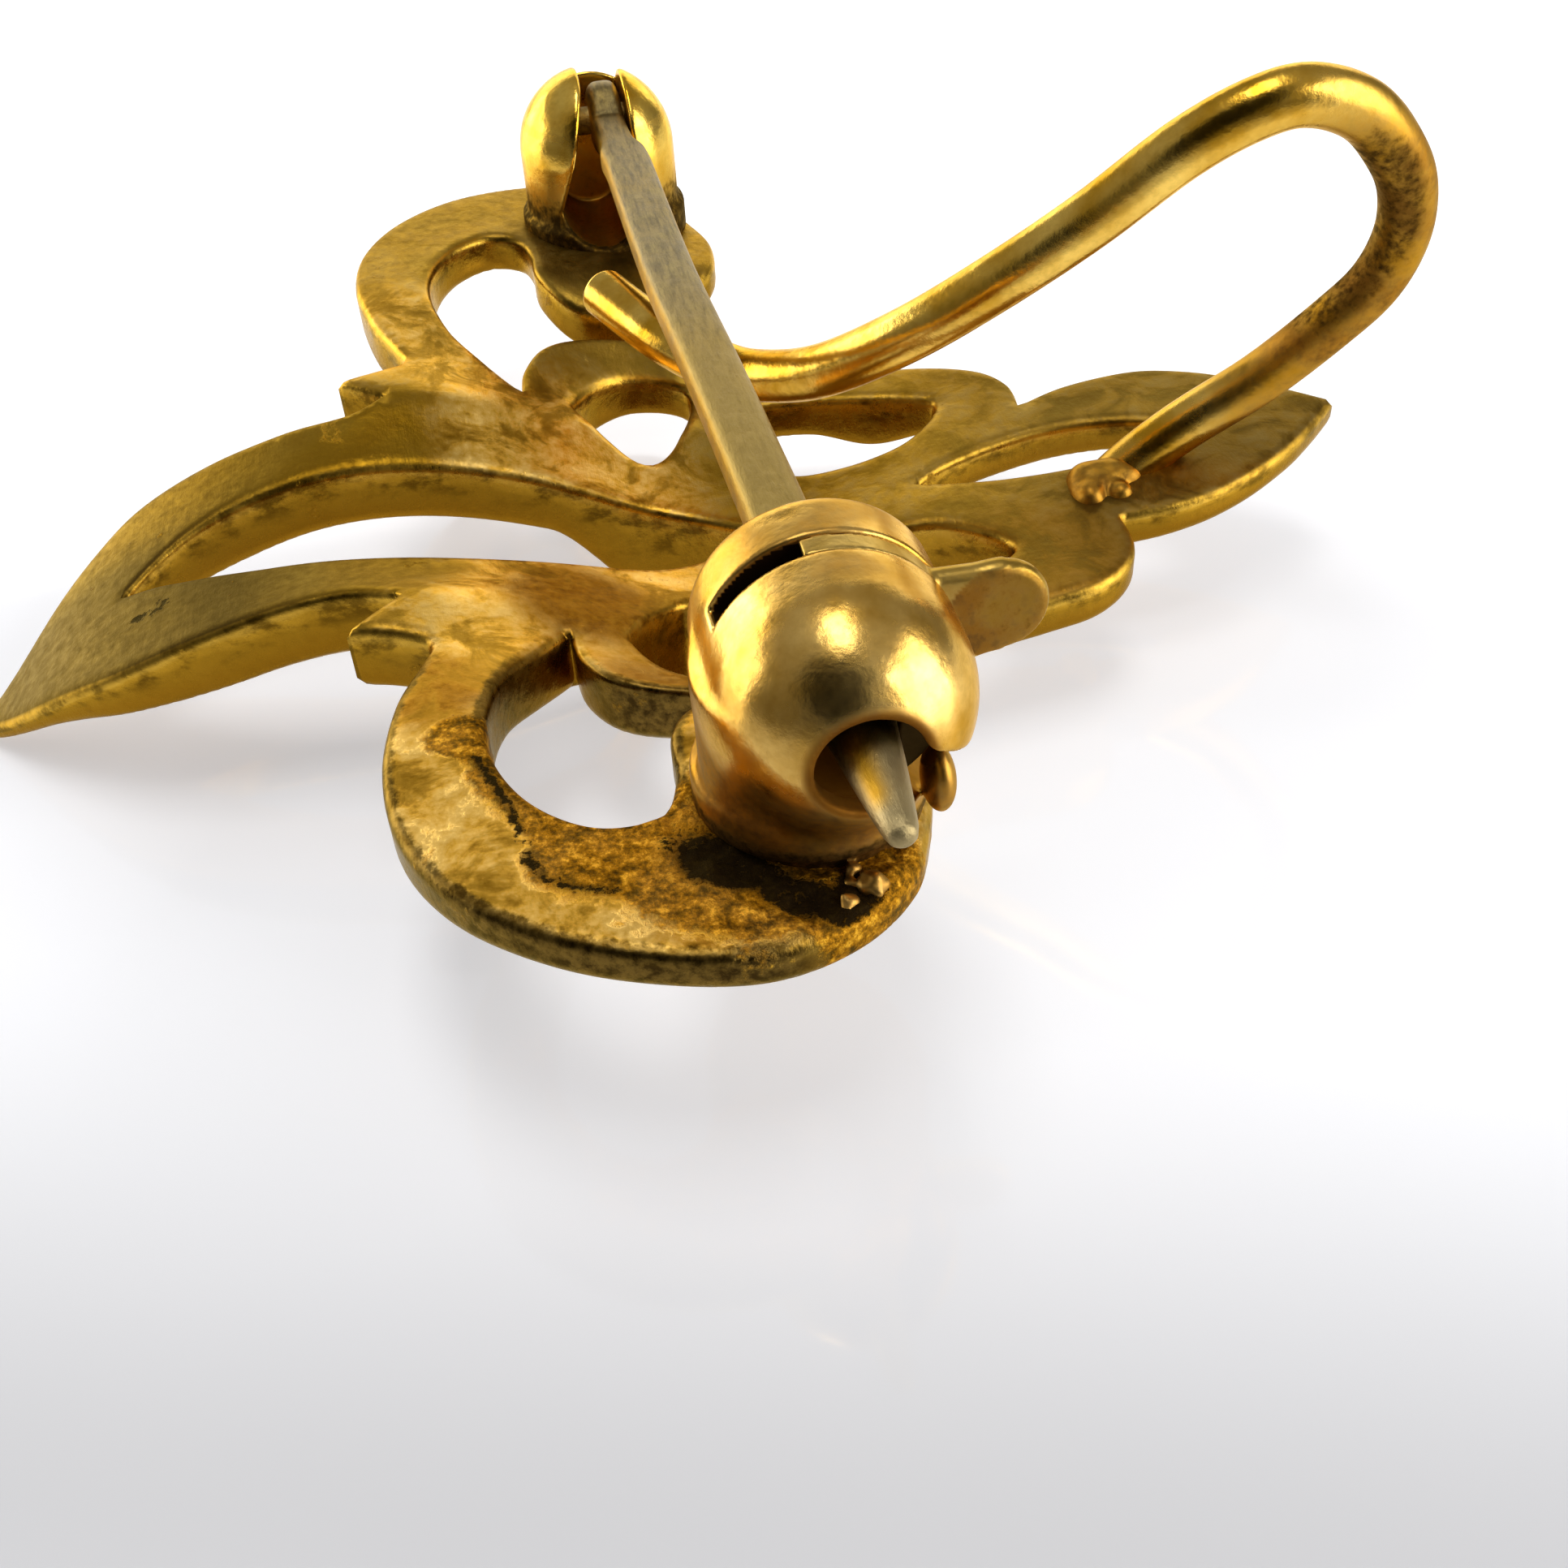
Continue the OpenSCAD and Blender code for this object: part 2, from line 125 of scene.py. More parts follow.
# Columns: x, y, z
HOOK = [
    [21.3, -1.2, 1.9], [21.9, -1, 2.6], [23.1, -1, 3.5], [24.6, -1.2, 4.5], [25.7, -1.6, 5.7],
    [26.3, -1.8, 6.5], [26.45, -2.1, 7.5], [26.2, -2.4, 8.5], [25.7, -2.6, 9.3], [24.9, -2.8, 10.1],
    [23.9, -2.9, 10.5], [23, -2.9, 10.4], [21.9, -2.7, 9.8], [20.5, -2.3, 8.6], [19, -1.9, 7.5],
    [17.6, -1.2, 6.4], [16.3, 0, 5.3], [15.3, 1.3, 4.7], [14.6, 2, 4.7], [13.8, 3, 4.85], [12.8, 5, 5.1],
]


def smoothstep(t):
    c = np.clip(t, 0, 1)
    return c * c * (3 - 2 * c)


def above(values, start, width):
    """0 up to the start, rising smoothly to 1 over the width."""
    return smoothstep((values - start) / width)


def below(values, start, width):
    """0 down to the start, rising smoothly to 1 over the width below it."""
    return smoothstep((start - values) / width)


def catmull(points, steps):
    """A smooth line through the points."""
    p = np.array(points, float)
    last = len(p) - 1
    out = []
    for i in range(last):
        a, b, c, d = (p[min(max(i + k, 0), last)] for k in (-1, 0, 1, 2))
        for s in range(steps):
            t = s / steps
            line = 2 * b + (c - a) * t
            out.append(0.5 * (line + (2 * a - 5 * b + 4 * c - d) * t * t + (3 * b - 3 * c + d - a) * t ** 3))
    return np.array(out + [p[-1]])


def resample(line, step):
    """Points along a polyline, evenly spaced, with both ends kept."""
    lengths = np.linalg.norm(np.diff(line, axis=0), axis=1)
    along = np.concatenate([[0], np.cumsum(lengths)])
    count = max(2, int(round(along[-1] / step)) + 1)
    t = np.linspace(0, along[-1], count)
    return np.stack([np.interp(t, along, line[:, k]) for k in range(line.shape[1])], -1)


FRACTAL_H, LACUNARITY = 0.8, 2.1


def snoise(points, scale, seed, octaves=1):
    """Smooth noise at points in mm, about -1 to 1."""
    out = np.zeros(len(points))
    for i, p in enumerate(points):
        z = p[2] if len(p) > 2 else 0.0
        v = Vector((p[0] * scale + seed, p[1] * scale - seed, z * scale + 2 * seed))
        out[i] = noise.noise(v) if octaves == 1 else noise.fractal(v, FRACTAL_H, LACUNARITY, octaves)
    return out


# Columns: offset along x, weight
SOFT_STEPS = ((-0.9, 1), (-0.6, 2), (-0.3, 3), (0, 3), (0.3, 3), (0.6, 2), (0.9, 1))


def soft_interp(x, table, column):
    """A table's column at x, with the corners of its straight pieces rounded."""
    total = 0
    for offset, weight in SOFT_STEPS:
        total = total + weight * np.interp(x + offset, table[:, 0], table[:, column])
    return total / sum(weight for _, weight in SOFT_STEPS)


def back_z(x, y):
    side = above(np.abs(y), SCROLLS_FROM, SCROLLS_RISE)
    middle = 1 - np.minimum(1, np.abs(y) / CHANNEL_HALF) ** 2
    leaf = soft_interp(x, BACK, 1) - middle * soft_interp(x, BACK, 2)
    return leaf * (1 - side) + soft_interp(x, BACK, 3) * side


def front_z(x, y):
    side = above(np.abs(y), THINNER_FROM, THINNER_WIDTH)
    thickness = soft_interp(x, THICK, 1) * (1 - side) + PLATE_T * side
    tie = 1 - above(np.abs(x - TIE_X), TIE_HALF[0], TIE_SLOPE[0])
    tie = tie * (1 - above(np.abs(y), TIE_HALF[1], TIE_SLOPE[1]))
    return np.maximum((back_z(x, y) - thickness) * (1 - tie) - TIE_DROP * tie, 0.0)


def new_object(name, verts_mm, faces, material, attributes):
    """A smooth mesh, with attributes for its material to read."""
    mesh = bpy.data.meshes.new(name)
    verts = (np.asarray(verts_mm, float) - MID) / PER_METRE
    mesh.from_pydata(verts.tolist(), [], [list(map(int, f)) for f in faces])
    for key, values in attributes.items():
        layer = mesh.attributes.new(key, "FLOAT", "POINT")
        layer.data.foreach_set("value", np.asarray(values, np.float32))
    mesh.validate()
    mesh.update()
    mesh.polygons.foreach_set("use_smooth", [True] * len(mesh.polygons))
    obj = bpy.data.objects.new(name, mesh)
    bpy.context.scene.collection.objects.link(obj)
    mesh.materials.append(material)
    return obj


# A mix node's colour sockets: factor, A and B, and the result
MIX_INPUTS, MIX_OUTPUT = (0, 6, 7), 2
METAL_GLANCE = (0.98, 0.84, 0.55)


class Nodes:
    """Short names for a node tree's parts. A value is a socket, a number or a colour."""

    def __init__(self, name):
        self.material = bpy.data.materials.new(name)
        self.material.use_nodes = True
        self.tree = self.material.node_tree
        self.bsdf = self.tree.nodes["Principled BSDF"]
        self.coords = self.add("ShaderNodeTexCoord").outputs["Object"]

    def add(self, kind, **settings):
        node = self.tree.nodes.new(kind)
        for key, value in settings.items():
            setattr(node, key, value)
        return node

    def put(self, value, socket):
        if hasattr(value, "is_output"):
            self.tree.links.new(value, socket)
        elif hasattr(value, "__len__"):
            socket.default_value = (*value, 1)
        else:
            socket.default_value = value

    def noise(self, per_mm, detail=3.0, rough=0.55, distort=0.0):
        """Noise with one frequency, or with one for each axis."""
        mapping = self.add("ShaderNodeMapping")
        each = per_mm if hasattr(per_mm, "__len__") else (per_mm,) * 3
        mapping.inputs["Scale"].default_value = [v * PER_METRE for v in each]
        self.put(self.coords, mapping.inputs["Vector"])
        node = self.add("ShaderNodeTexNoise")
        for key, number in zip(("Scale", "Detail", "Roughness", "Distortion"), (1.0, detail, rough, distort)):
            self.put(number, node.inputs[key])
        self.put(mapping.outputs["Vector"], node.inputs["Vector"])
        return node.outputs["Fac"]

    def ramp(self, value, *stops):
        """A colour ramp. Each stop is a position and a colour."""
        node = self.add("ShaderNodeValToRGB")
        elements = node.color_ramp.elements
        while len(elements) < len(stops):
            elements.new(0.5)
        for element, (position, color) in zip(elements, stops):
            element.position = position
            element.color = (*color, 1)
        self.put(value, node.inputs["Fac"])
        return node.outputs["Color"]

    def range(self, value, a, b, c=0.0, d=1.0, smooth=False):
        """Values from a to b become c to d."""
        node = self.add("ShaderNodeMapRange", interpolation_type="SMOOTHSTEP" if smooth else "LINEAR")
        for key, number in zip(("From Min", "From Max", "To Min", "To Max"), (a, b, c, d)):
            self.put(number, node.inputs[key])
        self.put(value, node.inputs["Value"])
        return node.outputs["Result"]

    def math(self, kind, a, b, clamp=False):
        node = self.add("ShaderNodeMath", operation=kind, use_clamp=clamp)
        self.put(a, node.inputs[0])
        self.put(b, node.inputs[1])
        return node.outputs[0]

    def plus(self, a, b, clamp=False):
        return self.math("ADD", a, b, clamp)

    def minus(self, a, b):
        return self.math("SUBTRACT", a, b)

    def times(self, a, b, clamp=False):
        return self.math("MULTIPLY", a, b, clamp)

    def mix(self, factor, a, b):
        node = self.add("ShaderNodeMix", data_type="RGBA")
        for value, index in zip((factor, a, b), MIX_INPUTS):
            self.put(value, node.inputs[index])
        return node.outputs[MIX_OUTPUT]

    def attribute(self, name):
        return self.add("ShaderNodeAttribute", attribute_name=name).outputs["Fac"]

    def bump(self, height, distance, normal=None):
        node = self.add("ShaderNodeBump")
        node.inputs["Distance"].default_value = distance / PER_METRE
        self.put(height, node.inputs["Height"])
        if normal is not None:
            self.put(normal, node.inputs["Normal"])
        return node.outputs["Normal"]

    def metal(self, color, roughness, normal, glancing=METAL_GLANCE):
        """Finish as a metal, with a tint for its glancing reflections."""
        self.put(color, self.bsdf.inputs["Base Color"])
        self.put(roughness, self.bsdf.inputs["Roughness"])
        self.put(normal, self.bsdf.inputs["Normal"])
        self.put(1.0, self.bsdf.inputs["Metallic"])
        self.put(glancing, self.bsdf.inputs["Specular Tint"])
        return self.material


# The brown for the hollows is painted shade
GRAIN_BROWN, SHADE_BROWN, HOLLOW_SHADE_BROWN = (0.12, 0.055, 0.002), (0.06, 0.035, 0.008), (0.22, 0.075, 0.005)
WALL_PATCH, NEAR_WALL_DARK = (0.06, 0.026, 0.002), (0.09, 0.055, 0.014)
# The soot black is also painted shade, in hollows and at low parts
BLACK_GRIME, SOOT_AND_SHADE = (0.012, 0.008, 0.004), (0.02, 0.01, 0.004)


def plate_material():
    n = Nodes("aged_gold_plate")
    broad = n.noise(0.22, 3, 0.55, 0.4)
    mid = n.noise(0.9, 5, 0.6, 0.6)
    fine = n.noise(4.5, 6, 0.65)
    speck = n.noise(11.0, 4, 0.7)
    shade, wall, depth, lined = (n.attribute(name) for name in ("shade", "wall", "depth", "lined"))
    # Satin base: tan gold, browner in broad patches
    color = n.ramp(broad, (0.3, (0.20, 0.095, 0.003)), (0.5, (0.29, 0.155, 0.009)), (0.7, (0.37, 0.23, 0.03)))
    color = n.mix(n.range(fine, 0.35, 0.65, 0.0, 0.5), color, GRAIN_BROWN)
    color = n.mix(shade, color, SHADE_BROWN)
    # Pale gold on the near side and in spots, a painted sheen on the middle slopes that face the light, and
    # the warm orange patches
    pale_and_sheen = n.times(n.attribute("pale_and_sheen"), n.range(mid, 0.38, 0.52, 0.35, 1.0, True), clamp=True)
    blotch = n.plus(n.times(mid, 0.6), n.times(fine, 0.4))
    pale_and_sheen_gold = n.ramp(
        blotch, (0.36, (0.36, 0.15, 0.007)), (0.48, (0.82, 0.44, 0.05)), (0.6, (0.98, 0.64, 0.17)))
    color = n.mix(pale_and_sheen, color, pale_and_sheen_gold)
    warm = n.times(n.attribute("warm"), n.range(mid, 0.38, 0.52, 0.45, 1.0, True), clamp=True)
    color = n.mix(warm, color, n.ramp(fine, (0.35, (0.15, 0.045, 0.001)), (0.65, (0.37, 0.15, 0.002))))
    # Walls: a polished rim with a painted highlight, deeper gold below as painted shade, and dark patches in
    # the upper part
    uneven = n.times(n.minus(mid, 0.5), 0.5)
    wall_highlight_shade_gold = n.ramp(
        n.plus(depth, uneven), (0.0, (0.72, 0.42, 0.05)), (0.12, (0.50, 0.27, 0.02)),
        (0.35, (0.32, 0.165, 0.010)), (1.0, (0.27, 0.125, 0.006)))
    patches = n.range(n.noise((1.3, 1.3, 2.2), 5, 0.65), 0.44, 0.64, 0.0, 0.85, True)
    patches = n.times(patches, n.range(depth, 0.8, 0.2, 0.1, 1.0, True))
    wall_highlight_shade_gold = n.mix(patches, wall_highlight_shade_gold, WALL_PATCH)
    color = n.mix(n.times(wall, 0.9), color, wall_highlight_shade_gold)
    # The scroll at the catch has a darker wall, and a dark band of painted shade along its rounded rim
    color = n.mix(n.times(n.times(wall, lined), 0.8), color, NEAR_WALL_DARK)
    edge_gap = n.plus(n.attribute("rim"), n.times(n.minus(fine, 0.5), 0.3))
    rim_shade = n.times(n.range(edge_gap, 0.13, 0.24, 0.85, 0.0, True), lined)
    color = n.mix(rim_shade, color, n.ramp(fine, (0.4, (0.03, 0.016, 0.004)), (0.62, (0.20, 0.12, 0.025))))
    # Tarnish: ragged brown, then black, both grainy
    ragged = n.plus(n.times(mid, 0.9), n.times(fine, 0.6))
    brown = n.range(n.plus(n.attribute("tarnish"), ragged), 1.0, 1.22, 0.0, 1.0, True)
    grains = n.plus(n.times(fine, 0.6), n.times(speck, 0.4))
    brown_gold = n.ramp(
        grains, (0.38, (0.03, 0.014, 0.002)), (0.46, (0.17, 0.07, 0.003)), (0.54, (0.46, 0.20, 0.008)),
        (0.62, (0.90, 0.50, 0.04)))
    color = n.mix(n.times(brown, 0.92), color, brown_gold)
    ragged = n.times(n.minus(n.plus(fine, speck), 1.0), 1.3)
    black = n.range(n.plus(n.attribute("grime_and_shade"), ragged), 0.6, 0.85, 0.0, 1.0, True)
    color = n.mix(n.times(black, 0.97), color, BLACK_GRIME)
    rough = n.range(fine, 0.3, 0.7, 0.30, 0.46)
    rough = n.plus(rough, n.times(brown, 0.22))
    rough = n.plus(rough, n.times(shade, 0.14))
    rough = n.minus(rough, n.times(wall, 0.12))
    rough = n.plus(rough, n.times(black, 0.1), clamp=True)
    height = n.plus(n.times(mid, 0.5), n.times(fine, n.range(brown, 0, 1, 0.25, 1.6)))
    height = n.minus(height, n.times(black, 1.5))
    normal = n.bump(height, 0.04)
    normal = n.bump(n.noise((9, 1.2, 3), 4, 0.7), 0.006, normal)
    return n.metal(color, rough, normal)


def polished_material(name, low, high, rough, grain, brown):
    """Gold between two colours, with stains, soot, and painted shade in hollows and on low and hidden parts,
    where the mesh's attributes say.
    """
    n = Nodes(name)
    mid = n.noise(0.8, 4, 0.55)
    fine = n.noise(6.0, 5, 0.6)
    color = n.ramp(mid, (0.35, low), (0.65, high))
    color = n.mix(n.range(fine, 0.45, 0.75, 0.0, 0.3), color, [v * 0.6 for v in low])
    # Brown: real stains, and painted shade on low and hidden parts
    stain_and_shade = n.times(n.attribute("stain_and_shade"), n.range(mid, 0.35, 0.6, 0.55, 1.0, True), clamp=True)
    brown_gold = n.ramp(fine, (0.35, (0.13, 0.04, 0.003)), (0.65, (0.36, 0.15, 0.01)))
    color = n.mix(n.times(stain_and_shade, brown), color, brown_gold)
    # Painted shade in the hollows
    hollow_shade = n.attribute("hollow_shade")
    color = n.mix(hollow_shade, color, HOLLOW_SHADE_BROWN)
    # Near black: soot, and painted shade deep inside and at the base
    soot_and_shade = n.range(n.plus(n.attribute("grime_and_shade"), n.times(fine, 0.6)), 0.75, 1.1, 0.0, 0.94, True)
    color = n.mix(soot_and_shade, color, SOOT_AND_SHADE)
    rough = n.plus(n.range(fine, 0.3, 0.7, rough - 0.03, rough + 0.05), n.times(stain_and_shade, 0.24))
    rough = n.plus(rough, n.times(hollow_shade, 0.3))
    rough = n.plus(rough, n.times(soot_and_shade, 0.3), clamp=True)
    normal = n.bump(mid, 0.03)
    normal = n.bump(n.noise(grain, 4, 0.7), 0.006, normal)
    return n.metal(color, rough, normal)


def stem_material():
    n = Nodes("stem_metal")
    grain = n.noise((9.0, 1.4, 9.0), 6, 0.7)
    mottle = n.noise(2.2, 5, 0.65)
    broad = n.noise(0.35, 2)
    color = n.ramp(mottle, (0.3, (0.18, 0.13, 0.045)), (0.5, (0.27, 0.20, 0.075)), (0.7, (0.36, 0.28, 0.11)))
    color = n.mix(n.range(broad, 0.45, 0.65, 0.0, 0.5), color, (0.34, 0.22, 0.04))
    color = n.mix(n.range(grain, 0.42, 0.66, 0.0, 0.85), color, (0.10, 0.075, 0.035))
    color = n.mix(n.times(n.attribute("golden"), 0.6), color, (0.36, 0.23, 0.03))
    edge = n.times(n.attribute("edge"), n.range(mottle, 0.35, 0.6, 0.5, 1.0))
    color = n.mix(edge, color, (0.50, 0.28, 0.02))
    color = n.mix(n.attribute("point"), color, (0.40, 0.31, 0.15))
    # A painted reflection: an orange streak on the point
    color = n.mix(n.attribute("reflection_stripe"), color, (0.80, 0.43, 0.02))
    rough = n.range(mottle, 0.3, 0.7, 0.36, 0.52)
    normal = n.bump(n.plus(grain, n.times(mottle, 0.6)), 0.02)
    return n.metal(color, rough, normal, (1, 0.95, 0.85))


GOLD_PLATE = plate_material()
GOLD_HOOK = polished_material("polished_hook_gold", (0.60, 0.31, 0.018), (0.92, 0.60, 0.12), 0.2, 7, 0.9)
GOLD_CASE = polished_material("satin_case_gold", (0.54, 0.28, 0.03), (0.90, 0.58, 0.16), 0.23, 3, 0.8)
GOLD_HOUSING = polished_material("housing_gold", (0.68, 0.35, 0.02), (0.96, 0.64, 0.12), 0.2, 5, 0.8)
GOLD_SLEEVE = polished_material("sleeve_gold", (0.40, 0.24, 0.035), (0.62, 0.43, 0.13), 0.3, 5, 0.85)
STEM = stem_material()

# The pierced plate
CHUNK = 1500
CURVE_STEPS, PLATE_STEP = 8, 0.12
BEVEL_BACK, BEVEL_FRONT = 0.2, 0.32
# The rims are rounded less where the plate is thinner than the first, and leave a wall as high as the second
FULL_ROUND_T, LEAST_WALL = 0.7, 0.08
# Rings of points just inside the edges, for the rounded rims. Those farther in have half the points
RING_OFFSETS = (0.012, 0.045, 0.09, 0.14, 0.22, 0.32)
SPARSE_FROM = 0.1
WALL_LEVELS = (0.25, 0.5, 0.75)
# Meshed areas, each finer than the one before. Columns: x from, x to, y from, y to, pitch
WHOLE = (-1, 27.5, -13.6, 13.6, 0.30)
SCROLL = (7.3, 16.2, -13.6, -4.5, 0.16)
SOLDER = (11.6, 16.0, -13.3, -7.8, 0.09)
JITTER = 0.25
# How far the fill stays from the edges
FILL_GAP, SOLDER_GAP = 0.16, 0.06
# The cast surface's slow waves, and the rough bed of solder under the catch
WAVE_H, WAVES_PER_MM = 0.035, 0.45
BED_X, BED_Y, BED_LONGER, BED_R, BED_SOFT = 13.9, -10.9, 1.15, 1.9, 0.8
BED_H, GRAIN_H, GRAINS_PER_MM = 0.05, 0.09, 2.6


def distance_to(points, starts, ends):
    """Distance from each point to the nearest of the segments."""
    out = np.zeros(len(points))
    d = ends - starts
    length = np.maximum((d * d).sum(1), 1e-12)
    for first in range(0, len(points), CHUNK):
        v = points[first:first + CHUNK][:, None, :] - starts[None]
        t = np.clip((v * d[None]).sum(-1) / length[None], 0, 1)
        gap = v - t[..., None] * d[None]
        out[first:first + CHUNK] = np.sqrt((gap * gap).sum(-1)).min(1)
    return out


def inside(points, starts, ends):
    """Even-odd test against all the loops' segments."""
    out = np.zeros(len(points), bool)
    (x0, y0), (x1, y1) = starts.T, ends.T
    for first in range(0, len(points), CHUNK):
        x, y = points[first:first + CHUNK, 0:1], points[first:first + CHUNK, 1:2]
        cross = (y0 > y) != (y1 > y)
        with np.errstate(divide="ignore", invalid="ignore"):
            edge_x = x0 + (y - y0) / (y1 - y0) * (x1 - x0)
        out[first:first + CHUNK] = (cross & (x < edge_x)).sum(1) % 2 == 1
    return out


def both_sides(hinge, catch):
    """A closed loop from the line on the hinge's side and the one on the catch's, which share their ends."""
    return np.concatenate([hinge, catch[::-1][1:-1] * [1, -1]])


def half_outline(column, *lines):
    parts = [resample(catmull(line, CURVE_STEPS), PLATE_STEP) for line in (LEAF_EDGE[:, [0, column]], *lines)]
    bridge = resample(np.array([parts[0][-1], parts[1][0]]), PLATE_STEP)[1:-1]
    return np.concatenate([parts[0], bridge] + [part[:-1] for part in parts[1:-1]] + [parts[-1]])


def plate_loops():
    hinge = half_outline(1, SCROLL_EDGE, HINGE_VOLUTE, HINGE_CURL, HINGE_FOOT)
    catch = half_outline(2, SCROLL_EDGE, CATCH_VOLUTE, CATCH_CURL, CATCH_FOOT)
    loops = [both_sides(hinge, catch)]
    for slit in (LEAF_SLIT, FOOT_SLIT):
        lines = [slit[:, [0, column]] for column in (1, 2)]
        loops.append(both_sides(*(resample(catmull(line, CURVE_STEPS), PLATE_STEP) for line in lines)))
    for hole in (CURL_HOLE, LOBE_HOLE):
        edge = resample(catmull(hole, CURVE_STEPS), PLATE_STEP)[:-1]
        loops += [edge, edge * [1, -1]]
    return loops


def jittered_grid(rng, area):
    x0, x1, y0, y1, pitch = area
    gx, gy = np.meshgrid(np.arange(x0, x1, pitch), np.arange(y0, y1, pitch))
    points = np.stack([gx.ravel(), gy.ravel()], -1)
    return points + rng.uniform(-JITTER, JITTER, points.shape) * pitch


def within(points, area):
    """Whether the points lie in an area, which goes on past its near side."""
    return (points[:, 0] > area[0]) & (points[:, 0] < area[1]) & (points[:, 1] < area[3])


def plate_points(loops, starts, ends):
    """Points to mesh the plate with: its edges, the rings inside them, and a fill."""
    tangent = np.concatenate([np.roll(loop, -1, 0) - np.roll(loop, 1, 0) for loop in loops])
    normal = np.stack([-tangent[:, 1], tangent[:, 0]], -1)
    normal /= np.maximum(np.linalg.norm(normal, axis=1), 1e-9)[:, None]
    normal[~inside(starts + normal * 0.02, starts, ends)] *= -1
    rings = []
    for offset in RING_OFFSETS:
        stride = 1 if offset < SPARSE_FROM else 2
        ring = (starts + normal * offset)[::stride]
        real = distance_to(ring, starts, ends)
        rings.append(ring[(real > offset * 0.93) & inside(ring, starts, ends)])
    rng = np.random.default_rng(7)
    whole, scroll, solder = [jittered_grid(rng, area) for area in (WHOLE, SCROLL, SOLDER)]
    fill = np.concatenate([whole[~within(whole, SCROLL)], scroll[~within(scroll, SOLDER)], solder])
    fill = fill[inside(fill, starts, ends)]
    fill = fill[distance_to(fill, starts, ends) > np.where(within(fill, SOLDER), SOLDER_GAP, FILL_GAP)]
    return np.concatenate([starts] + rings + [fill])


def flat_plate():
    """The plate as a flat mesh: points, triangles, and each point's distance from the edge."""
    loops = plate_loops()
    starts = np.concatenate(loops)
    ends = np.concatenate([np.roll(loop, -1, 0) for loop in loops])
    edges = []
    for loop in loops:
        first, n = len(edges), len(loop)
        edges += [(first + i, first + (i + 1) % n) for i in range(n)]
    points = [Vector(p) for p in plate_points(loops, starts, ends)]
    verts, _, faces, _, _, _ = delaunay_2d_cdt(points, edges, [], 0, 1e-5)
    flat = np.array([[v.x, v.y] for v in verts])
    tris = np.array(faces)
    tris = tris[inside(flat[tris].mean(1), starts, ends)]
    turn = np.cross(flat[tris[:, 1]] - flat[tris[:, 0]], flat[tris[:, 2]] - flat[tris[:, 0]])
    tris[turn < 0] = tris[turn < 0][:, ::-1]
    used, inverse = np.unique(tris, return_inverse=True)
    flat = flat[used]
    d = distance_to(flat, starts, ends)
    d[d < 1e-4] = 0
    return flat, inverse.reshape(tris.shape), d


def rounding(d, radius):
    """How far a rounded rim falls at a distance from the edge."""
    return radius - np.sqrt(np.maximum(radius ** 2 - np.maximum(radius - d, 0) ** 2, 0))


def build_plate():
    """Vertices and faces, and for each vertex whether it is on a wall, its distance from the edge, and its
    depth down the wall."""
    flat, tris, d = flat_plate()
    x, y = flat.T
    front = front_z(x, y)
    back = back_z(x, y) + WAVE_H * snoise(flat, WAVES_PER_MM, 3.1) * above(d, 0, 0.6)
    bed = 1 - above(np.hypot((x - BED_X) / BED_LONGER, y - BED_Y), BED_R, BED_SOFT)
    back = back + bed * (BED_H + GRAIN_H * snoise(flat, GRAINS_PER_MM, 5.0, 3)) * above(d, 0, 0.25)
    limit = np.minimum(1, (back - front) / FULL_ROUND_T)
    top = back - rounding(d, BEVEL_BACK) * limit
    bottom = np.minimum(front + rounding(d, BEVEL_FRONT) * limit, top - LEAST_WALL)
    n = len(flat)
    verts = [np.column_stack([flat, top]), np.column_stack([flat, bottom])]
    wall = [(1 - above(d, 0, 0.1)) * 0.8, np.ones(n)]
    gap = [d, d]
    depth = [np.zeros(n), np.ones(n)]
    faces = [tuple(t) for t in tris] + [tuple(t[::-1] + n) for t in tris]
    sides = dict.fromkeys((t[k], t[(k + 1) % 3]) for t in tris for k in range(3))
    border = [(i, j) for (i, j) in sides if (j, i) not in sides]
    rim = sorted({i for side in border for i in side})
    place = {v: k for k, v in enumerate(rim)}
    m = len(rim)
    for level in WALL_LEVELS:
        z = top[rim] * (1 - level) + bottom[rim] * level
        verts.append(np.column_stack([flat[rim], z]))
        wall.append(np.ones(m))
        gap.append(np.zeros(m))
        depth.append(np.full(m, level))
    for side in border:
        left, right = [
            [v] + [2 * n + k * m + place[v] for k in range(len(WALL_LEVELS))] + [n + v] for v in side]
        for k in range(len(WALL_LEVELS) + 1):
            faces.append((left[k + 1], right[k + 1], right[k], left[k]))
    return np.concatenate(verts), faces, *(np.concatenate(values) for values in (wall, gap, depth))


plate_v, plate_f, plate_wall, plate_gap, plate_depth = build_plate()
plate_x, plate_y = plate_v[:, 0], plate_v[:, 1]


def spots(table):
    """Soft round patches on the plate. Columns: strength, x, y, radius, width of the soft edge."""
    total = 0
    for strength, x, y, radius, soft in table:
        total = total + strength * (1 - above(np.hypot(plate_x - x, plate_y - y), radius, soft))
    return total


def along(line, half, soft):
    """A soft band on the plate along a line."""
    line = np.array(line, float)
    return 1 - above(distance_to(plate_v[:, :2], line[:-1], line[1:]), half, soft)


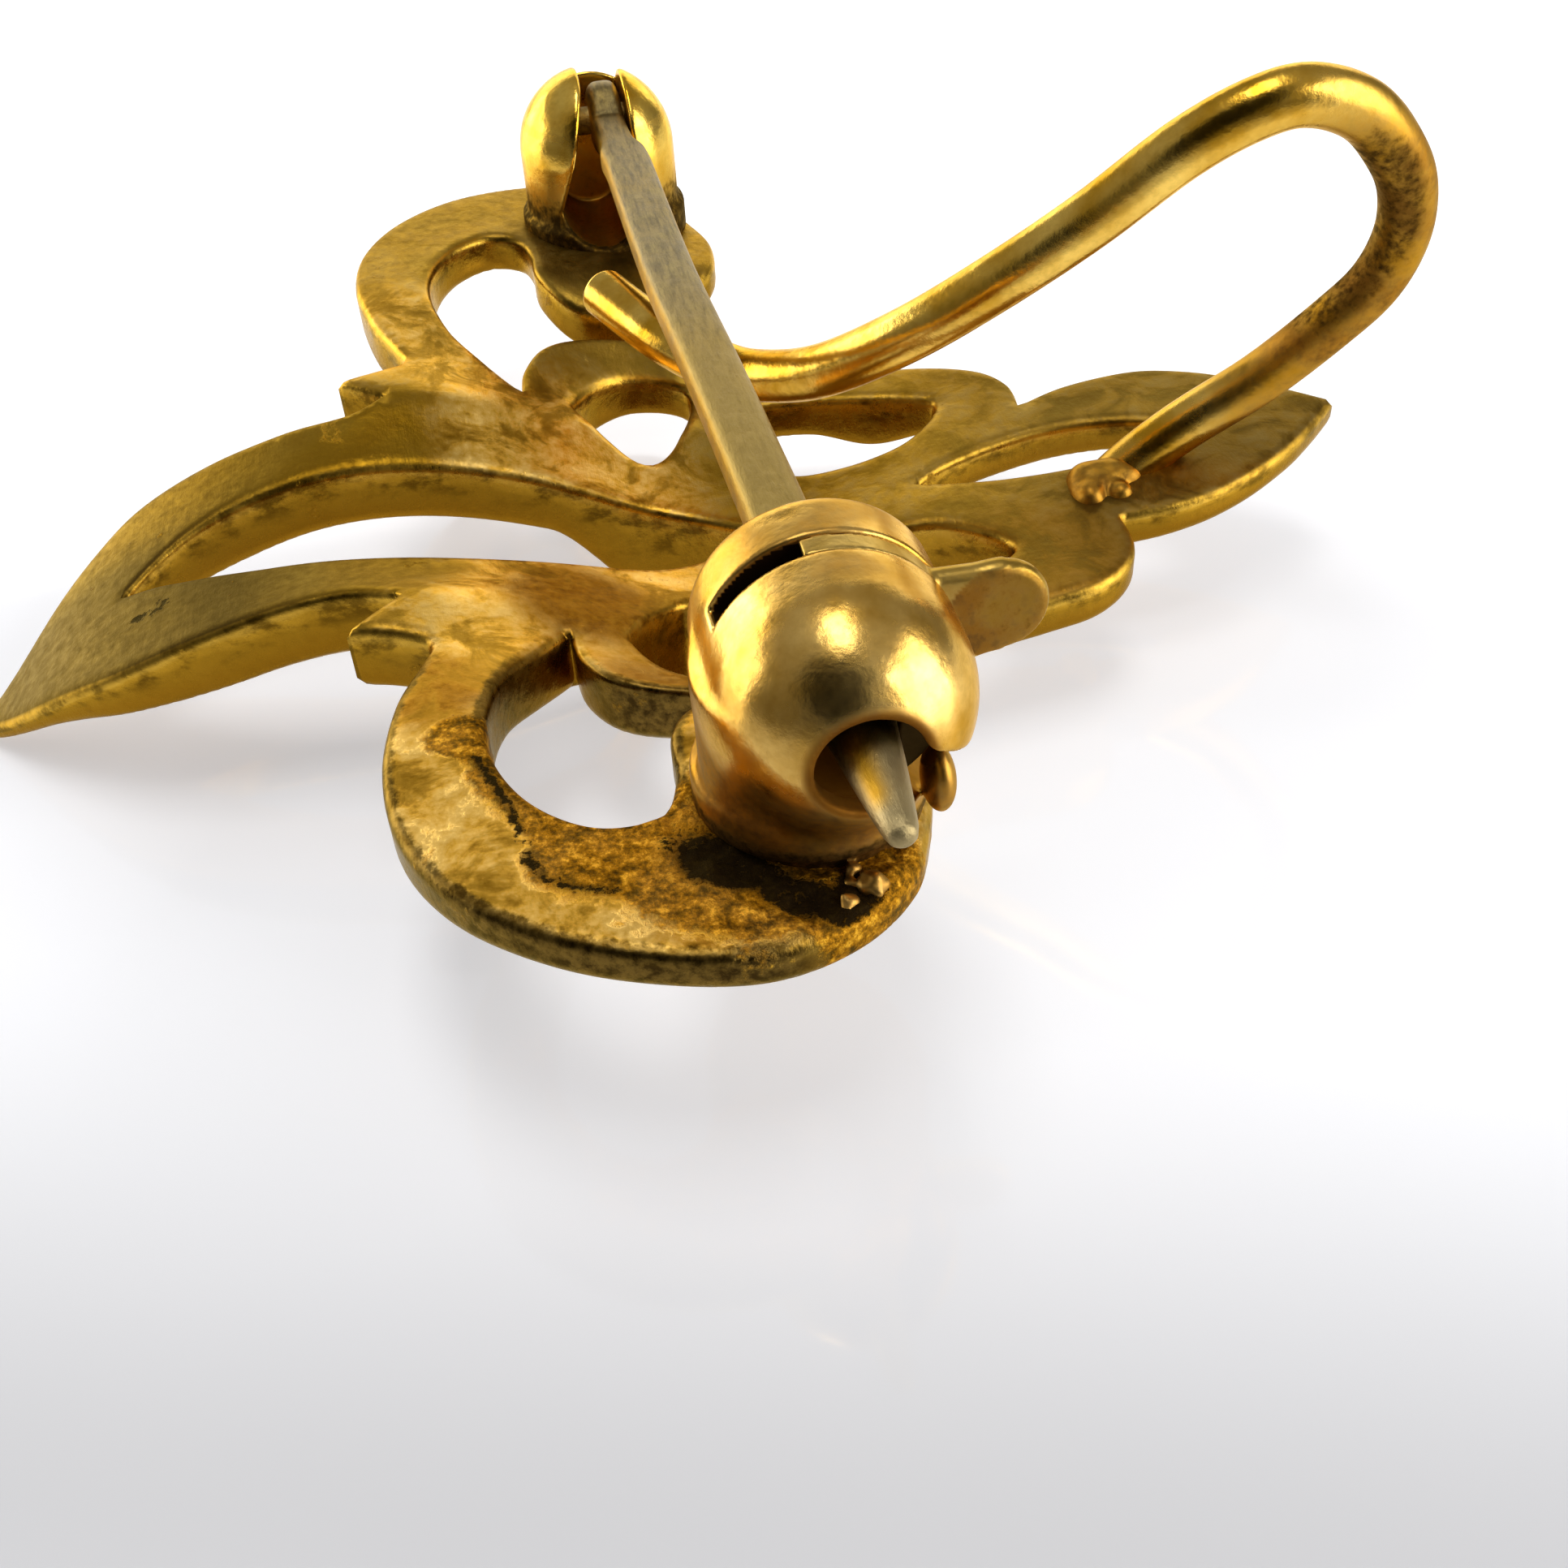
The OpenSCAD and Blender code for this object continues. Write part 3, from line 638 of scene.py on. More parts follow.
# Marks on the plate: lines, with columns x and y, and spots
SCROLL_INNER = [[9.3, -8.2], [9.4, -8.9], [9.8, -9.8], [10.7, -10.4], [11.5, -10.6], [12.3, -10.6]]
CRACK = [
    [9.1, -8.5], [9.45, -9.6], [9.6, -10.4], [9.65, -10.9], [9.85, -11.3], [10.2, -11.6], [10.75, -11.75],
]
PIT = [[12.2, -11.45], [12.8, -11.85], [13.3, -12.35], [13.8, -12.6], [14.1, -12.2]]
LEAF_STAIN = [[3.1, -1.3], [3.9, -1.15]]
DASH = [[8.6, -4.18], [9.05, -4.18]]
PALE_SPOTS = [(0.6, 9.3, -5.0, 1.2, 1.6), (0.75, 8.7, 6.0, 1.2, 1.5)]
WARM_SPOTS = [
    (0.9, 8.5, -6.5, 0.6, 0.9), (0.9, 11.3, -3.2, 1.0, 0.9), (0.6, 12.6, -5.9, 1.0, 0.8),
    (0.35, 19.5, -3.3, 1.2, 1.0),
]
LEAF_SHADE = [(0.5, 5.5, -2.2, 1.0, 2.5)]
SHADE_SPOTS = [(0.65, 11.3, -3.2, 1.0, 0.9), (0.8, 12.8, 9.3, 1.3, 1.3)]
TARNISH_SPOTS = [
    (0.75, 12.6, -11.2, 1.0, 1.2), (0.65, 14.2, -12.2, 0.6, 0.9), (0.6, 8.95, -7.9, 0.25, 0.5),
    (0.5, 10.6, -10.9, 0.5, 0.9),
]
GRIME_SPOTS = [(0.45, 12.4, -10.6, 0.5, 0.8), (0.4, 11.7, -11.5, 0.3, 0.8)]

on_back = 1 - plate_wall
near = below(plate_y, -4.5, 2.0)
far = above(plate_y, 4.0, 2.0)
# A painted sheen on the slopes between the leaf and the scrolls, which face the light
sheen_slopes = above(plate_x, 8.5, 1.5) * (1 - above(plate_x, 13.0, 2.0))
pale_and_sheen = near * 0.95 + 0.12 * far + spots(PALE_SPOTS)
pale_and_sheen += sheen_slopes * (1 - near) * (1 - far) + 0.2 * above(plate_x, 14, 3)
# The leaf and the foot are darker, and less so on the far side
shade = (1 - above(plate_x, 2.5, 5.0) + spots(LEAF_SHADE)) * (1 - 0.5 * above(plate_y, 0.5, 2.0))
shade += spots(SHADE_SPOTS) + above(plate_x, 18, 4) * (1 - 0.35 * above(plate_y, -1, 2))
tarnish = 0.12 + 0.5 * along(SCROLL_INNER, 0.1, 0.6) + spots(TARNISH_SPOTS)
grime_and_shade = 0.95 * along(CRACK, 0.0, 0.26) + along(PIT, 0.16, 0.5) + spots(GRIME_SPOTS)
grime_and_shade = np.max([np.clip(grime_and_shade, 0, 1), 0.8 * along(LEAF_STAIN, 0.0, 0.4), along(DASH, 0.04, 0.1)], axis=0)
plate = new_object("pierced_plate", plate_v, plate_f, GOLD_PLATE, {
    "wall": plate_wall,
    "depth": plate_depth,
    "rim": np.minimum(plate_gap, 0.6),
    "lined": near * (1 - 0.85 * above(plate_x, 12.6, 1.2)),
    "pale_and_sheen": np.clip(pale_and_sheen, 0, 1) * on_back,
    "warm": np.clip(spots(WARM_SPOTS), 0, 1) * on_back,
    "shade": np.clip(shade, 0, 0.95) * on_back,
    "tarnish": np.where(near > 0.05, np.clip(tarnish, 0, 1), 0.08),
    "grime_and_shade": grime_and_shade * on_back,
})


# Meshes from distance functions
def smin(a, b, k):
    h = np.clip(0.5 + 0.5 * (b - a) / k, 0, 1)
    return b * (1 - h) + a * h - k * h * (1 - h)


def smax(a, b, k):
    return -smin(-a, -b, k)


# Moves onto the surface: their number, the longest and the slope's step in pitches, the least squared slope
NET_MOVES, NET_REACH, NET_STEP, LEAST_SLOPE2 = 3, 0.5, 0.05, 0.25


def nets(f, low, high, pitch):
    """Surface nets: vertices and quads of f(points) = 0, moved onto the surface."""
    low, high = np.array(low, float), np.array(high, float)
    unit = np.eye(3)
    shape = np.ceil((high - low) / pitch).astype(int) + 1
    axes = [low[k] + pitch * np.arange(shape[k]) for k in range(3)]
    value = f(np.stack(np.meshgrid(*axes, indexing="ij"), -1))
    solid = value < 0
    corners = [(i, j, k) for i in (0, 1) for j in (0, 1) for k in (0, 1)]
    s = tuple(n - 1 for n in shape)
    filled = np.zeros(s, int)
    for i, j, k in corners:
        filled += solid[i:i + s[0], j:j + s[1], k:k + s[2]]
    active = (filled > 0) & (filled < len(corners))
    cells = np.argwhere(active)
    index = np.full(s, -1)
    index[active] = np.arange(len(cells))
    # Each active cell's vertex is the mean of its edges' crossings
    total = np.zeros((len(cells), 3))
    hits = np.zeros(len(cells))
    for p in corners:
        for axis in range(3):
            if p[axis]:
                continue
            q = p + unit[axis].astype(int)
            a, b = value[tuple((cells + p).T)], value[tuple((cells + q).T)]
            cross = (a < 0) != (b < 0)
            t = np.where(cross, a / np.where(cross, a - b, 1), 0)
            total[cross] += (p + unit[axis] * t[:, None])[cross]
            hits += cross
    verts = low + pitch * (cells + total / hits[:, None])
    faces = []
    for axis in range(3):
        du, dv = unit[(axis + 1) % 3].astype(int), unit[(axis + 2) % 3].astype(int)
        inner = [slice(1, -1)] * 3
        inner[axis] = slice(0, -1)
        cross = np.zeros_like(solid)
        cross[tuple(inner)] = (solid != np.roll(solid, -1, axis))[tuple(inner)]
        where = np.argwhere(cross)
        quad = np.stack([index[tuple((where - offset).T)] for offset in (du + dv, dv, 0 * du, du)], -1)
        outward = ~solid[tuple(where.T)]
        quad[outward] = quad[outward][:, ::-1]
        faces.append(quad[(quad >= 0).all(1)])
    step = pitch * NET_STEP
    for _ in range(NET_MOVES):
        grad = np.stack([(f(verts + e) - f(verts - e)) / (2 * step) for e in step * unit], -1)
        size = np.maximum((grad * grad).sum(-1), LEAST_SLOPE2)
        move = -(f(verts) / size)[:, None] * grad
        length = np.linalg.norm(move, axis=1)
        verts = verts + move * np.minimum(1, NET_REACH * pitch / np.maximum(length, 1e-9))[:, None]
    return verts, np.concatenate(faces)


def cylinder_z(p, x, y, radius, low, high, soft):
    radial = np.hypot(p[..., 0] - x, p[..., 1] - y) - radius
    return smax(radial, np.maximum(low - p[..., 2], p[..., 2] - high), soft)


def ball_gap(p, x, y, z, radius):
    return np.sqrt((p[..., 0] - x) ** 2 + (p[..., 1] - y) ** 2 + (p[..., 2] - z) ** 2) - radius


def ripple(p, height, per_x, per_y, per_z, shift=0):
    """Small waves in each direction, for a lumpy surface."""
    return height * np.sin(per_x * p[..., 0]) * np.sin(per_y * p[..., 1] + shift) * np.sin(per_z * p[..., 2])


def stem_frame(p):
    """Along the stem from the case's rear rim, across and up from the stem's axis."""
    return CATCH_Y - p[..., 1], p[..., 0] - STEM_X, p[..., 2] - STEM_Z


def arc_gap(a, b, start, end):
    """How far outside the sector from start to end degrees, seen along the stem."""
    middle, half = math.radians((start + end) / 2), math.radians((end - start) / 2)
    angle = np.arctan2(b, a) - middle
    angle = np.abs((angle + math.pi) % (2 * math.pi) - math.pi)
    return (angle - half) * np.maximum(np.hypot(a, b), 0.3)


def mouth(a, b, degrees):
    """A straight opening from the axis outwards."""
    t = math.radians(degrees)
    across = np.abs(-math.sin(t) * a + math.cos(t) * b) - MOUTH_HALF
    return np.maximum(across, -(math.cos(t) * a + math.sin(t) * b))


# Columns: x and y from the stem and the case's rear rim, radius, z from, z to
CASE_SKIRT = (-0.35, -1.6, 1.64, 4.28, 6.6)
CASE_FOOT = (-0.4, -1.35, 1.7, 3.8, 4.75)
CASE_REAR = 0.02
CAVITY_R, CAVITY_LEN, CAVITY_END_R = 1.3, 2.9, 1.44
FRONT_HOLE_R = 0.76
SLOT_START, SLOT_END, SLOT_FLOOR_R, SLOT_GAP = -35, 152, 1.05, 0.02
# The lip beside the mouth. Rows: across, along and up. Columns: middle, half size
LIP = ((1.16, 0.24), (2.8, 0.44), (-1.25, 0.52))
# Crumbs of solder in front of the skirt. Columns: x, y, z, radius
CRUMBS = [
    (14.05, -11.9, 4.04, 0.12), (13.85, -12.5, 4.02, 0.15), (14.25, -12.2, 4.0, 0.22),
    (13.98, -12.15, 3.98, 0.13),
]


def crumbs(p):
    return np.min([ball_gap(p, *crumb) for crumb in CRUMBS], axis=0) + ripple(p, 0.05, 17, 15, 16)


def case_shape(p):
    s, a, b = stem_frame(p)
    r = np.hypot(a, b)
    ball = np.where(s < CASE_LEN, r, np.sqrt(r * r + np.maximum(s - CASE_LEN, 0) ** 2)) - CASE_R
    d = smax(ball, -s, 0.28)
    skirt, foot = [
        np.maximum(cylinder_z(p, STEM_X + x, CATCH_Y + y, *sizes, 0.1), CASE_REAR - s)
        for x, y, *sizes in (CASE_SKIRT, CASE_FOOT)]
    d = smin(d, smin(skirt, foot, 0.2), 0.35)
    lip = np.sqrt(sum(((v - middle) / half) ** 2 for v, (middle, half) in zip((a, s, b), LIP))) - 1
    cavity = np.minimum(np.maximum(r - CAVITY_R, s - CAVITY_LEN), np.hypot(r, s - CASE_LEN) - CAVITY_END_R)
    d = smax(d, -cavity, 0.07)
    d = smax(d, -np.maximum(r - FRONT_HOLE_R, -s), 0.12)
    slot = np.maximum(np.abs(s - LEVER_MID) - LEVER_HALF - SLOT_GAP, arc_gap(a, b, SLOT_START, SLOT_END))
    d = smax(d, -np.maximum(slot, SLOT_FLOOR_R - r), 0.07)
    d = smax(d, -mouth(a, b, MOUTH_ANGLE), 0.08)
    return smin(smin(d, 0.2 * lip, 0.08), crumbs(p), 0.12)


SLEEVE_START, SLEEVE_END = 0.05, 2.8
BAND_START, BAND_END, BAND_IN_R, BAND_GAP = -33, 100, 1.0, 0.03
TAB_ACROSS, TAB_UP, TAB_R = 2.47, 0.33, 0.71


def sleeve_shape(p):
    s, a, b = stem_frame(p)
    r = np.hypot(a, b)
    tube = smax(r - SLEEVE_R, np.maximum(SLEEVE_START - s, s - SLEEVE_END), 0.08)
    flat = np.abs(s - LEVER_MID) - LEVER_HALF
    band = np.maximum(flat, arc_gap(a, b, BAND_START, BAND_END))
    band = np.maximum(np.maximum(band, r - (CASE_R - BAND_GAP)), BAND_IN_R - r)
    tab = np.hypot(a - TAB_ACROSS, b - TAB_UP) - TAB_R
    # The lever's arm narrows outwards: its upper and lower edges, then its two ends
    arm = np.maximum(np.maximum(b - 1.1 + 0.03 * a, -1.0 - b + 0.25 * a), np.maximum(1.15 - a, a - 2.5))
    lever = smax(smin(tab, arm, 0.12), flat, 0.2)
    d = smin(np.minimum(tube, band), lever, 0.05)
    d = smax(d, BORE_R - r, 0.05)
    return smax(d, -mouth(a, b, MOUTH_ANGLE - LEVER_TURN), 0.05)


# Left edge of the hinge's slot, which narrows upwards. Columns: x, z
SLOT_LEFT = np.array([[12.54, 4.95], [12.62, 5.2], [12.9, 6], [13.12, 6.8], [13.28, 7.3], [13.4, 8]])
SLOT_RIGHT, SLOT_BACK = 14.22, 1.1
SLOT_ROUND_X, SLOT_ROUND_Z, SLOT_ROUND_R = 13.37, 4.95, 0.85
FLANGE_OUT, FLANGE_LOW, FLANGE_HIGH = 0.12, 3.8, 4.45
HOUSING_LOW = 3.7


def housing_shape(p):
    x, y, z = p[..., 0], p[..., 1] - HOUSING_Y, p[..., 2]
    r = np.hypot(x - HOUSING_X, y)
    dome = np.where(z < HOUSING_Z, r, np.sqrt(r * r + (np.maximum(z - HOUSING_Z, 0)) ** 2)) - HOUSING_R
    d = smax(dome, HOUSING_LOW - z, 0.05)
    flange = cylinder_z(p, HOUSING_X, HOUSING_Y, HOUSING_R + FLANGE_OUT, FLANGE_LOW, FLANGE_HIGH, 0.1)
    d = smin(d, flange, 0.25)
    upper = np.maximum(np.interp(z, SLOT_LEFT[:, 1], SLOT_LEFT[:, 0]) - x, x - SLOT_RIGHT)
    slot = np.where(z < SLOT_ROUND_Z, np.hypot(x - SLOT_ROUND_X, z - SLOT_ROUND_Z) - SLOT_ROUND_R, upper)
    return smax(d, -np.maximum(slot, y - SLOT_BACK), 0.14)


case_v, case_f = nets(case_shape, (11.6, -13.2, 3.7), (16.5, -8.3, 8.6), 0.055)
case_s, case_a, case_b = stem_frame(case_v)
case_r, case_z = np.hypot(case_a, case_b), case_v[:, 2]
smoke = np.clip(0.5 + 1.6 * snoise(case_v, 0.9, 4.0, 2), 0, 1)
# Browner towards the base as painted shade, and smoky stains away from the front
case_stain_and_shade = np.clip(below(case_z, 6.3, 1.0) * 0.95 + 0.65 * smoke * below(case_s, 2.9, 1.2), 0, 1)
# Painted shade inside the cavity, its front end and the lever's slot
case_hollow_shade = (case_r < CAVITY_R + 0.06) & (case_s < CAVITY_LEN + 0.08)
case_hollow_shade |= (np.hypot(case_r, case_s - CASE_LEN) < CAVITY_END_R + 0.06) & (case_s > 1.6)
case_hollow_shade |= (np.abs(case_s - LEVER_MID) < LEVER_HALF + 0.1) & (case_r < CASE_R - 0.06)
case_hollow_shade &= case_z > 4.9
# Painted shade: near black at the base where the case meets the plate, and in the hollows, but little in
# their lower front part
case_shade = below(case_z, 4.75, 0.35) * 0.7
case_shade += case_hollow_shade * np.where((case_b < -0.2) & (case_s > 1.6), 0.2, 0.9)
# Painted shade in and around the front hole
case_hole_shade = (1 - above(case_r, 0.82, 0.16)) * (case_s > 3.2)
on_crumb = crumbs(case_v) < 0.03
case = new_object("catch_case", case_v, case_f, GOLD_CASE, {
    "stain_and_shade": np.maximum(np.where(on_crumb, 0.8, case_stain_and_shade), case_hole_shade),
    "grime_and_shade": np.where(on_crumb, 0.4, np.clip(case_shade, 0, 1)),
    "hollow_shade": np.where(case_hollow_shade, 1, 0.7 * case_hole_shade),
})

sleeve_v, sleeve_f = nets(sleeve_shape, (12.7, -11.8, 4.9), (17.7, -8.5, 8.4), 0.045)
sleeve_s, sleeve_a, sleeve_b = stem_frame(sleeve_v)
# Painted shade inside the sleeve and on the lever's face
sleeve_inner_shade = (np.hypot(sleeve_a, sleeve_b) < 1.5) & (sleeve_s > 0.2)
shaded_lever_face = (sleeve_a > 1.7) & (np.hypot(sleeve_a - 2.4, sleeve_b - 0.3) < 0.75)
shaded_lever_face &= np.abs(sleeve_s - LEVER_MID) > LEVER_HALF - 0.05
sleeve = new_object("locking_sleeve", sleeve_v, sleeve_f, GOLD_SLEEVE, {
    "stain_and_shade": 0.15 + 0.85 * shaded_lever_face,
    "grime_and_shade": sleeve_inner_shade + 0.48 * shaded_lever_face,
})

housing_v, housing_f = nets(housing_shape, (11.5, 8.9, 3.6), (15.6, 13.0, 7.7), 0.05)
housing_r, housing_z = np.hypot(housing_v[:, 0] - HOUSING_X, housing_v[:, 1] - HOUSING_Y), housing_v[:, 2]
# Painted shade inside the slot, and darker towards the bottom
housing_slot_shade = (housing_r < HOUSING_R - 0.12) & (housing_z < 6.6)
housing_shade = below(housing_z, 6.0, 1.4) * (0.9 - 0.3 * housing_slot_shade) + housing_slot_shade * 0.3
housing = new_object("hinge_housing", housing_v, housing_f, GOLD_HOUSING, {
    "stain_and_shade": np.clip(housing_shade, 0, 1),
    "grime_and_shade": below(housing_z, 6.3, 1.8) * np.where(housing_slot_shade, 0.45, 0.75),
})


def closed_tube(rings, first, last):
    """Vertices and faces of a tube through rings of points, with a point at each end."""
    n, sides = len(rings), len(rings[0])
    faces = []
    for k in range(sides):
        after = (k + 1) % sides
        for i in range(n - 1):
            faces.append([i * sides + k, i * sides + after, (i + 1) * sides + after, (i + 1) * sides + k])
        faces.append([after, k, n * sides])
        faces.append([(n - 1) * sides + k, (n - 1) * sides + after, n * sides + 1])
    return np.concatenate(rings + [[first], [last]]), faces


HOOK_R, HOOK_SIDES, HOOK_CURVE_STEPS, HOOK_STEP = 0.5, 40, 12, 0.12
# The free end's rounded cap. Columns: distance along, share of the radius
HOOK_CAP = ((-0.105, 1.0), (-0.055, 0.96), (-0.015, 0.86), (-0.005, 0.7), (0, 0.35))


def build_hook():
    path = resample(catmull(HOOK, HOOK_CURVE_STEPS), HOOK_STEP)
    ahead = np.gradient(path, axis=0)
    ahead /= np.linalg.norm(ahead, axis=1)[:, None]
    across = np.cross(ahead, [0, 1, 0])
    across /= np.linalg.norm(across, axis=1)[:, None]
    up = np.cross(across, ahead)
    t = 2 * math.pi * np.arange(HOOK_SIDES) / HOOK_SIDES
    circles = [np.cos(t)[:, None] * across[i] + np.sin(t)[:, None] * up[i] for i in range(len(path))]
    rings = [path[i] + HOOK_R * circles[i] for i in range(len(path) - 1)]
    rings += [path[-1] + ahead[-1] * forward + HOOK_R * share * circles[-1] for forward, share in HOOK_CAP]
    verts, faces = closed_tube(rings, path[0], path[-1])
    x, y, z = verts.T
    outer = above(x, 22.5, 2.5) * (1 - 0.6 * above(z, 9.4, 1.2))
    root = (1 - above(x, 21.6, 1.6)) * (z < 4.0) * (y < 0) * (x > 20.5)
    # The loop is darkest on its inner side, towards the middle of its round end
    loop = above(x, 24.0, 1.0) * (1 - above(np.hypot(x - 23.9, z - 7.8), 2.3, 0.5))
    return new_object("watch_hook", verts, faces, GOLD_HOOK, {
        "stain_and_shade": np.clip(outer + 0.5 * root, 0, 1),
        "grime_and_shade": 0.45 * root + 0.4 * outer + 0.25 * loop,
    })


hook = build_hook()

# Balls of solder at the hook's root. Columns: x, y, z, radius, softness of the join to those before
ROOT_BALLS = [
    (21.35, -1.25, 2.65, 0.52, 0), (21.9, -1.25, 2.75, 0.42, 0.35), (21.15, -1.75, 2.72, 0.34, 0.25),
    (21.7, -1.85, 2.78, 0.26, 0.15), (22.4, -1.05, 2.75, 0.3, 0.3),
]


def solder_shape(p):
    d = ball_gap(p, *ROOT_BALLS[0][:4])
    for *ball, soft in ROOT_BALLS[1:]:
        d = smin(d, ball_gap(p, *ball), soft)
    return d + ripple(p, 0.03, 9, 8, 7, 1)


root_v, root_f = nets(solder_shape, (20.3, -2.6, 1.6), (23.2, -0.3, 3.4), 0.05)
root = new_object("hook_solder", root_v, root_f, GOLD_HOOK, {
    "stain_and_shade": np.full(len(root_v), 0.95),
    "grime_and_shade": np.full(len(root_v), 0.35),
})

# The stem's middle bends a little between the hinge and the catch. Columns: y, x
STEM_MIDDLE = np.array([
    [-14, 14.27], [-8.7, 14.24], [-6.3, 14.22], [-5, 14.18], [-2.6, 14.12], [-1.2, 14.07], [0, 14.02],
    [2, 13.94], [4, 13.92], [8.4, 13.92], [9, 13.81], [12, 13.81],
])
# The stem's point. Columns: y, share of the width
STEM_POINT = np.array([
    [-13.95, 0.05], [-13.93, 0.24], [-13.86, 0.38], [-13.7, 0.48], [-13.3, 0.6], [-12.5, 0.8], [-11.8, 0.94],
    [-11.2, 1.0],
])
STEM_SIDES, TIP_ROUND = 48, 0.12
# Offsets along the stem that its bends are averaged over
STEM_SOFTEN = np.array([-0.6, -0.3, 0, 0.3, 0.6])
EYE_R, EYE_END = 0.8, 0.78
# The stem is narrower by the eye, and its section turns round towards the point
EYE_FROM, EYE_BLEND, EYE_NARROWER = 8.4, 0.6, 0.125
TAPER_FROM, TAPER_BLEND = -11.2, 0.9
# The section's roundness: 2 is an ellipse, more is squarer
SQUARE, ROUND = 3.6, 2.0


def build_stem():
    start, end = HOUSING_Y + EYE_END, TIP_Y + TIP_ROUND
    ys = np.concatenate([
        start - 1.5 * (1 - np.cos(np.linspace(0, math.pi / 2, 14))),
        np.linspace(start - 1.6, -11.4, 200),
        np.linspace(-11.5, end, 40),
        end - TIP_ROUND * np.sin(np.linspace(0.2, math.pi / 2, 6)),
    ])
    t = 2 * math.pi * (np.arange(STEM_SIDES) + 0.5) / STEM_SIDES
    c, s = np.cos(t), np.sin(t)
    rings, edge = [], []
    for y in ys:
        eye = max(0.0, EYE_R ** 2 - (y - HOUSING_Y) ** 2) ** 0.5
        half_h = max(STEM_H / 2 if y < HOUSING_Y - 0.05 else 0.05, eye)
        half_w = STEM_W / 2 - EYE_NARROWER * above(y, EYE_FROM, EYE_BLEND)
        taper = below(y, TAPER_FROM, TAPER_BLEND)
        power = SQUARE * (1 - taper) + ROUND * taper
        cone = np.interp(y, STEM_POINT[:, 0], STEM_POINT[:, 1])
        half_w *= cone
        half_h *= cone
        if taper > 0:
            half_h = half_h * (1 - taper) + max(half_w * 0.95, 0.01) * taper
        ex = np.sign(c) * np.abs(c) ** (2 / power) * half_w
        ez = np.sign(s) * np.abs(s) ** (2 / power) * half_h
        middle = np.interp(y + STEM_SOFTEN, STEM_MIDDLE[:, 0], STEM_MIDDLE[:, 1]).mean()
        rings.append(np.column_stack([middle + ex, np.full(STEM_SIDES, y), STEM_Z + ez]))
        side = np.clip((np.abs(ex) / max(half_w, 1e-3) - 0.86) / 0.12, 0, 1)
        edge.append(side * (ez < half_h * 0.9) * (y > -11.5))
    verts, faces = closed_tube(rings, rings[0].mean(0), rings[-1].mean(0))
    y = verts[:, 1]
    around = np.degrees(np.concatenate([t] * len(rings) + [[0, 0]]))
    # A painted reflection: an orange streak along one side of the point
    reflection_stripe = np.exp(-((around - 126) / 26) ** 2) * below(y, -11.9, 0.4) * above(y, -13.6, 0.4)
    return new_object("pin_wire", verts, faces, STEM, {
        "edge": np.concatenate(edge + [[0, 0]]),
        "golden": 1 - above(y, -3, 6),
        "point": 0.9 * below(y, -12.2, 0.5),
        "reflection_stripe": 0.9 * reflection_stripe,
    })


stem = build_stem()

# The rivet stays as its CAD node, with a bevel and a better material
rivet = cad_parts["hinge_rivet"]
rivet.data.materials.clear()
rivet.data.materials.append(STEM)
bevel = rivet.modifiers.new("bevel", "BEVEL")
bevel.width = 0.04 / PER_METRE
bevel.segments = 2

for piece in (plate, case, housing, hook, root):
    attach(piece, "brooch")
    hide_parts("brooch_body")
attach(sleeve, "catch")
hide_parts("catch_sleeve")
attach(stem, "pin")
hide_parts("pin_stem")

# Camera, as the photograph's
CAMERA_AT = np.array([10.283, -29.076, 21.1])
YAW, PITCH, ROLL = math.radians(9.5), math.radians(41.2), math.radians(-3.49)
FOCAL_PX, PHOTO_PX, SENSOR = 2160, 1932, 36
heading = Vector((math.sin(YAW), math.cos(YAW), 0))
level = Vector((math.cos(YAW), -math.sin(YAW), 0))
forward = heading * math.cos(PITCH) - Vector((0, 0, math.sin(PITCH)))
upward = level.cross(forward)
right = level * math.cos(ROLL) + upward * math.sin(ROLL)
top = upward * math.cos(ROLL) - level * math.sin(ROLL)
camera_data = bpy.data.cameras.new("camera")
camera_data.sensor_width = SENSOR
camera_data.lens = FOCAL_PX / PHOTO_PX * SENSOR
camera_data.clip_start = 0.001
camera_data.clip_end = 10
camera = bpy.data.objects.new("camera", camera_data)
columns = (right, top, -forward, (CAMERA_AT - MID) / PER_METRE)
camera.matrix_world = Matrix([[column[k] for column in columns] for k in range(3)] + [[0, 0, 0, 1]])
bpy.context.scene.collection.objects.link(camera)
bpy.context.scene.camera = camera

# The floor, in metres
FLOOR_HALF, FLOOR_Z = 3, -2e-5


def floor_material():
    n = Nodes("pale_floor")
    # Its own faint light falls off softly towards the near side
    away = n.add("ShaderNodeVectorMath", operation="DOT_PRODUCT")
    away.inputs[1].default_value = (0.3, 0.95, 0)
    n.put(n.coords, away.inputs[0])
    n.put(n.range(away.outputs["Value"], -0.019, -0.009, 0.0, 0.42, True), n.bsdf.inputs["Emission Strength"])
    n.put((0.96, 0.97, 1.0), n.bsdf.inputs["Emission Color"])
    n.put((0.74, 0.74, 0.755), n.bsdf.inputs["Base Color"])
    n.put(0.06, n.bsdf.inputs["Roughness"])
    n.put(1.6, n.bsdf.inputs["IOR"])
    return n.material


floor_mesh = bpy.data.meshes.new("floor")
floor_corners = [(x * FLOOR_HALF, y * FLOOR_HALF, FLOOR_Z) for x, y in ((-1, -1), (1, -1), (1, 1), (-1, 1))]
floor_mesh.from_pydata(floor_corners, [], [(0, 1, 2, 3)])
floor = bpy.data.objects.new("floor", floor_mesh)
floor_mesh.materials.append(floor_material())
bpy.context.scene.collection.objects.link(floor)

# Lights, in metres and watts, aimed at the brooch's middle
AIM = Vector((0, 0, 0.004))


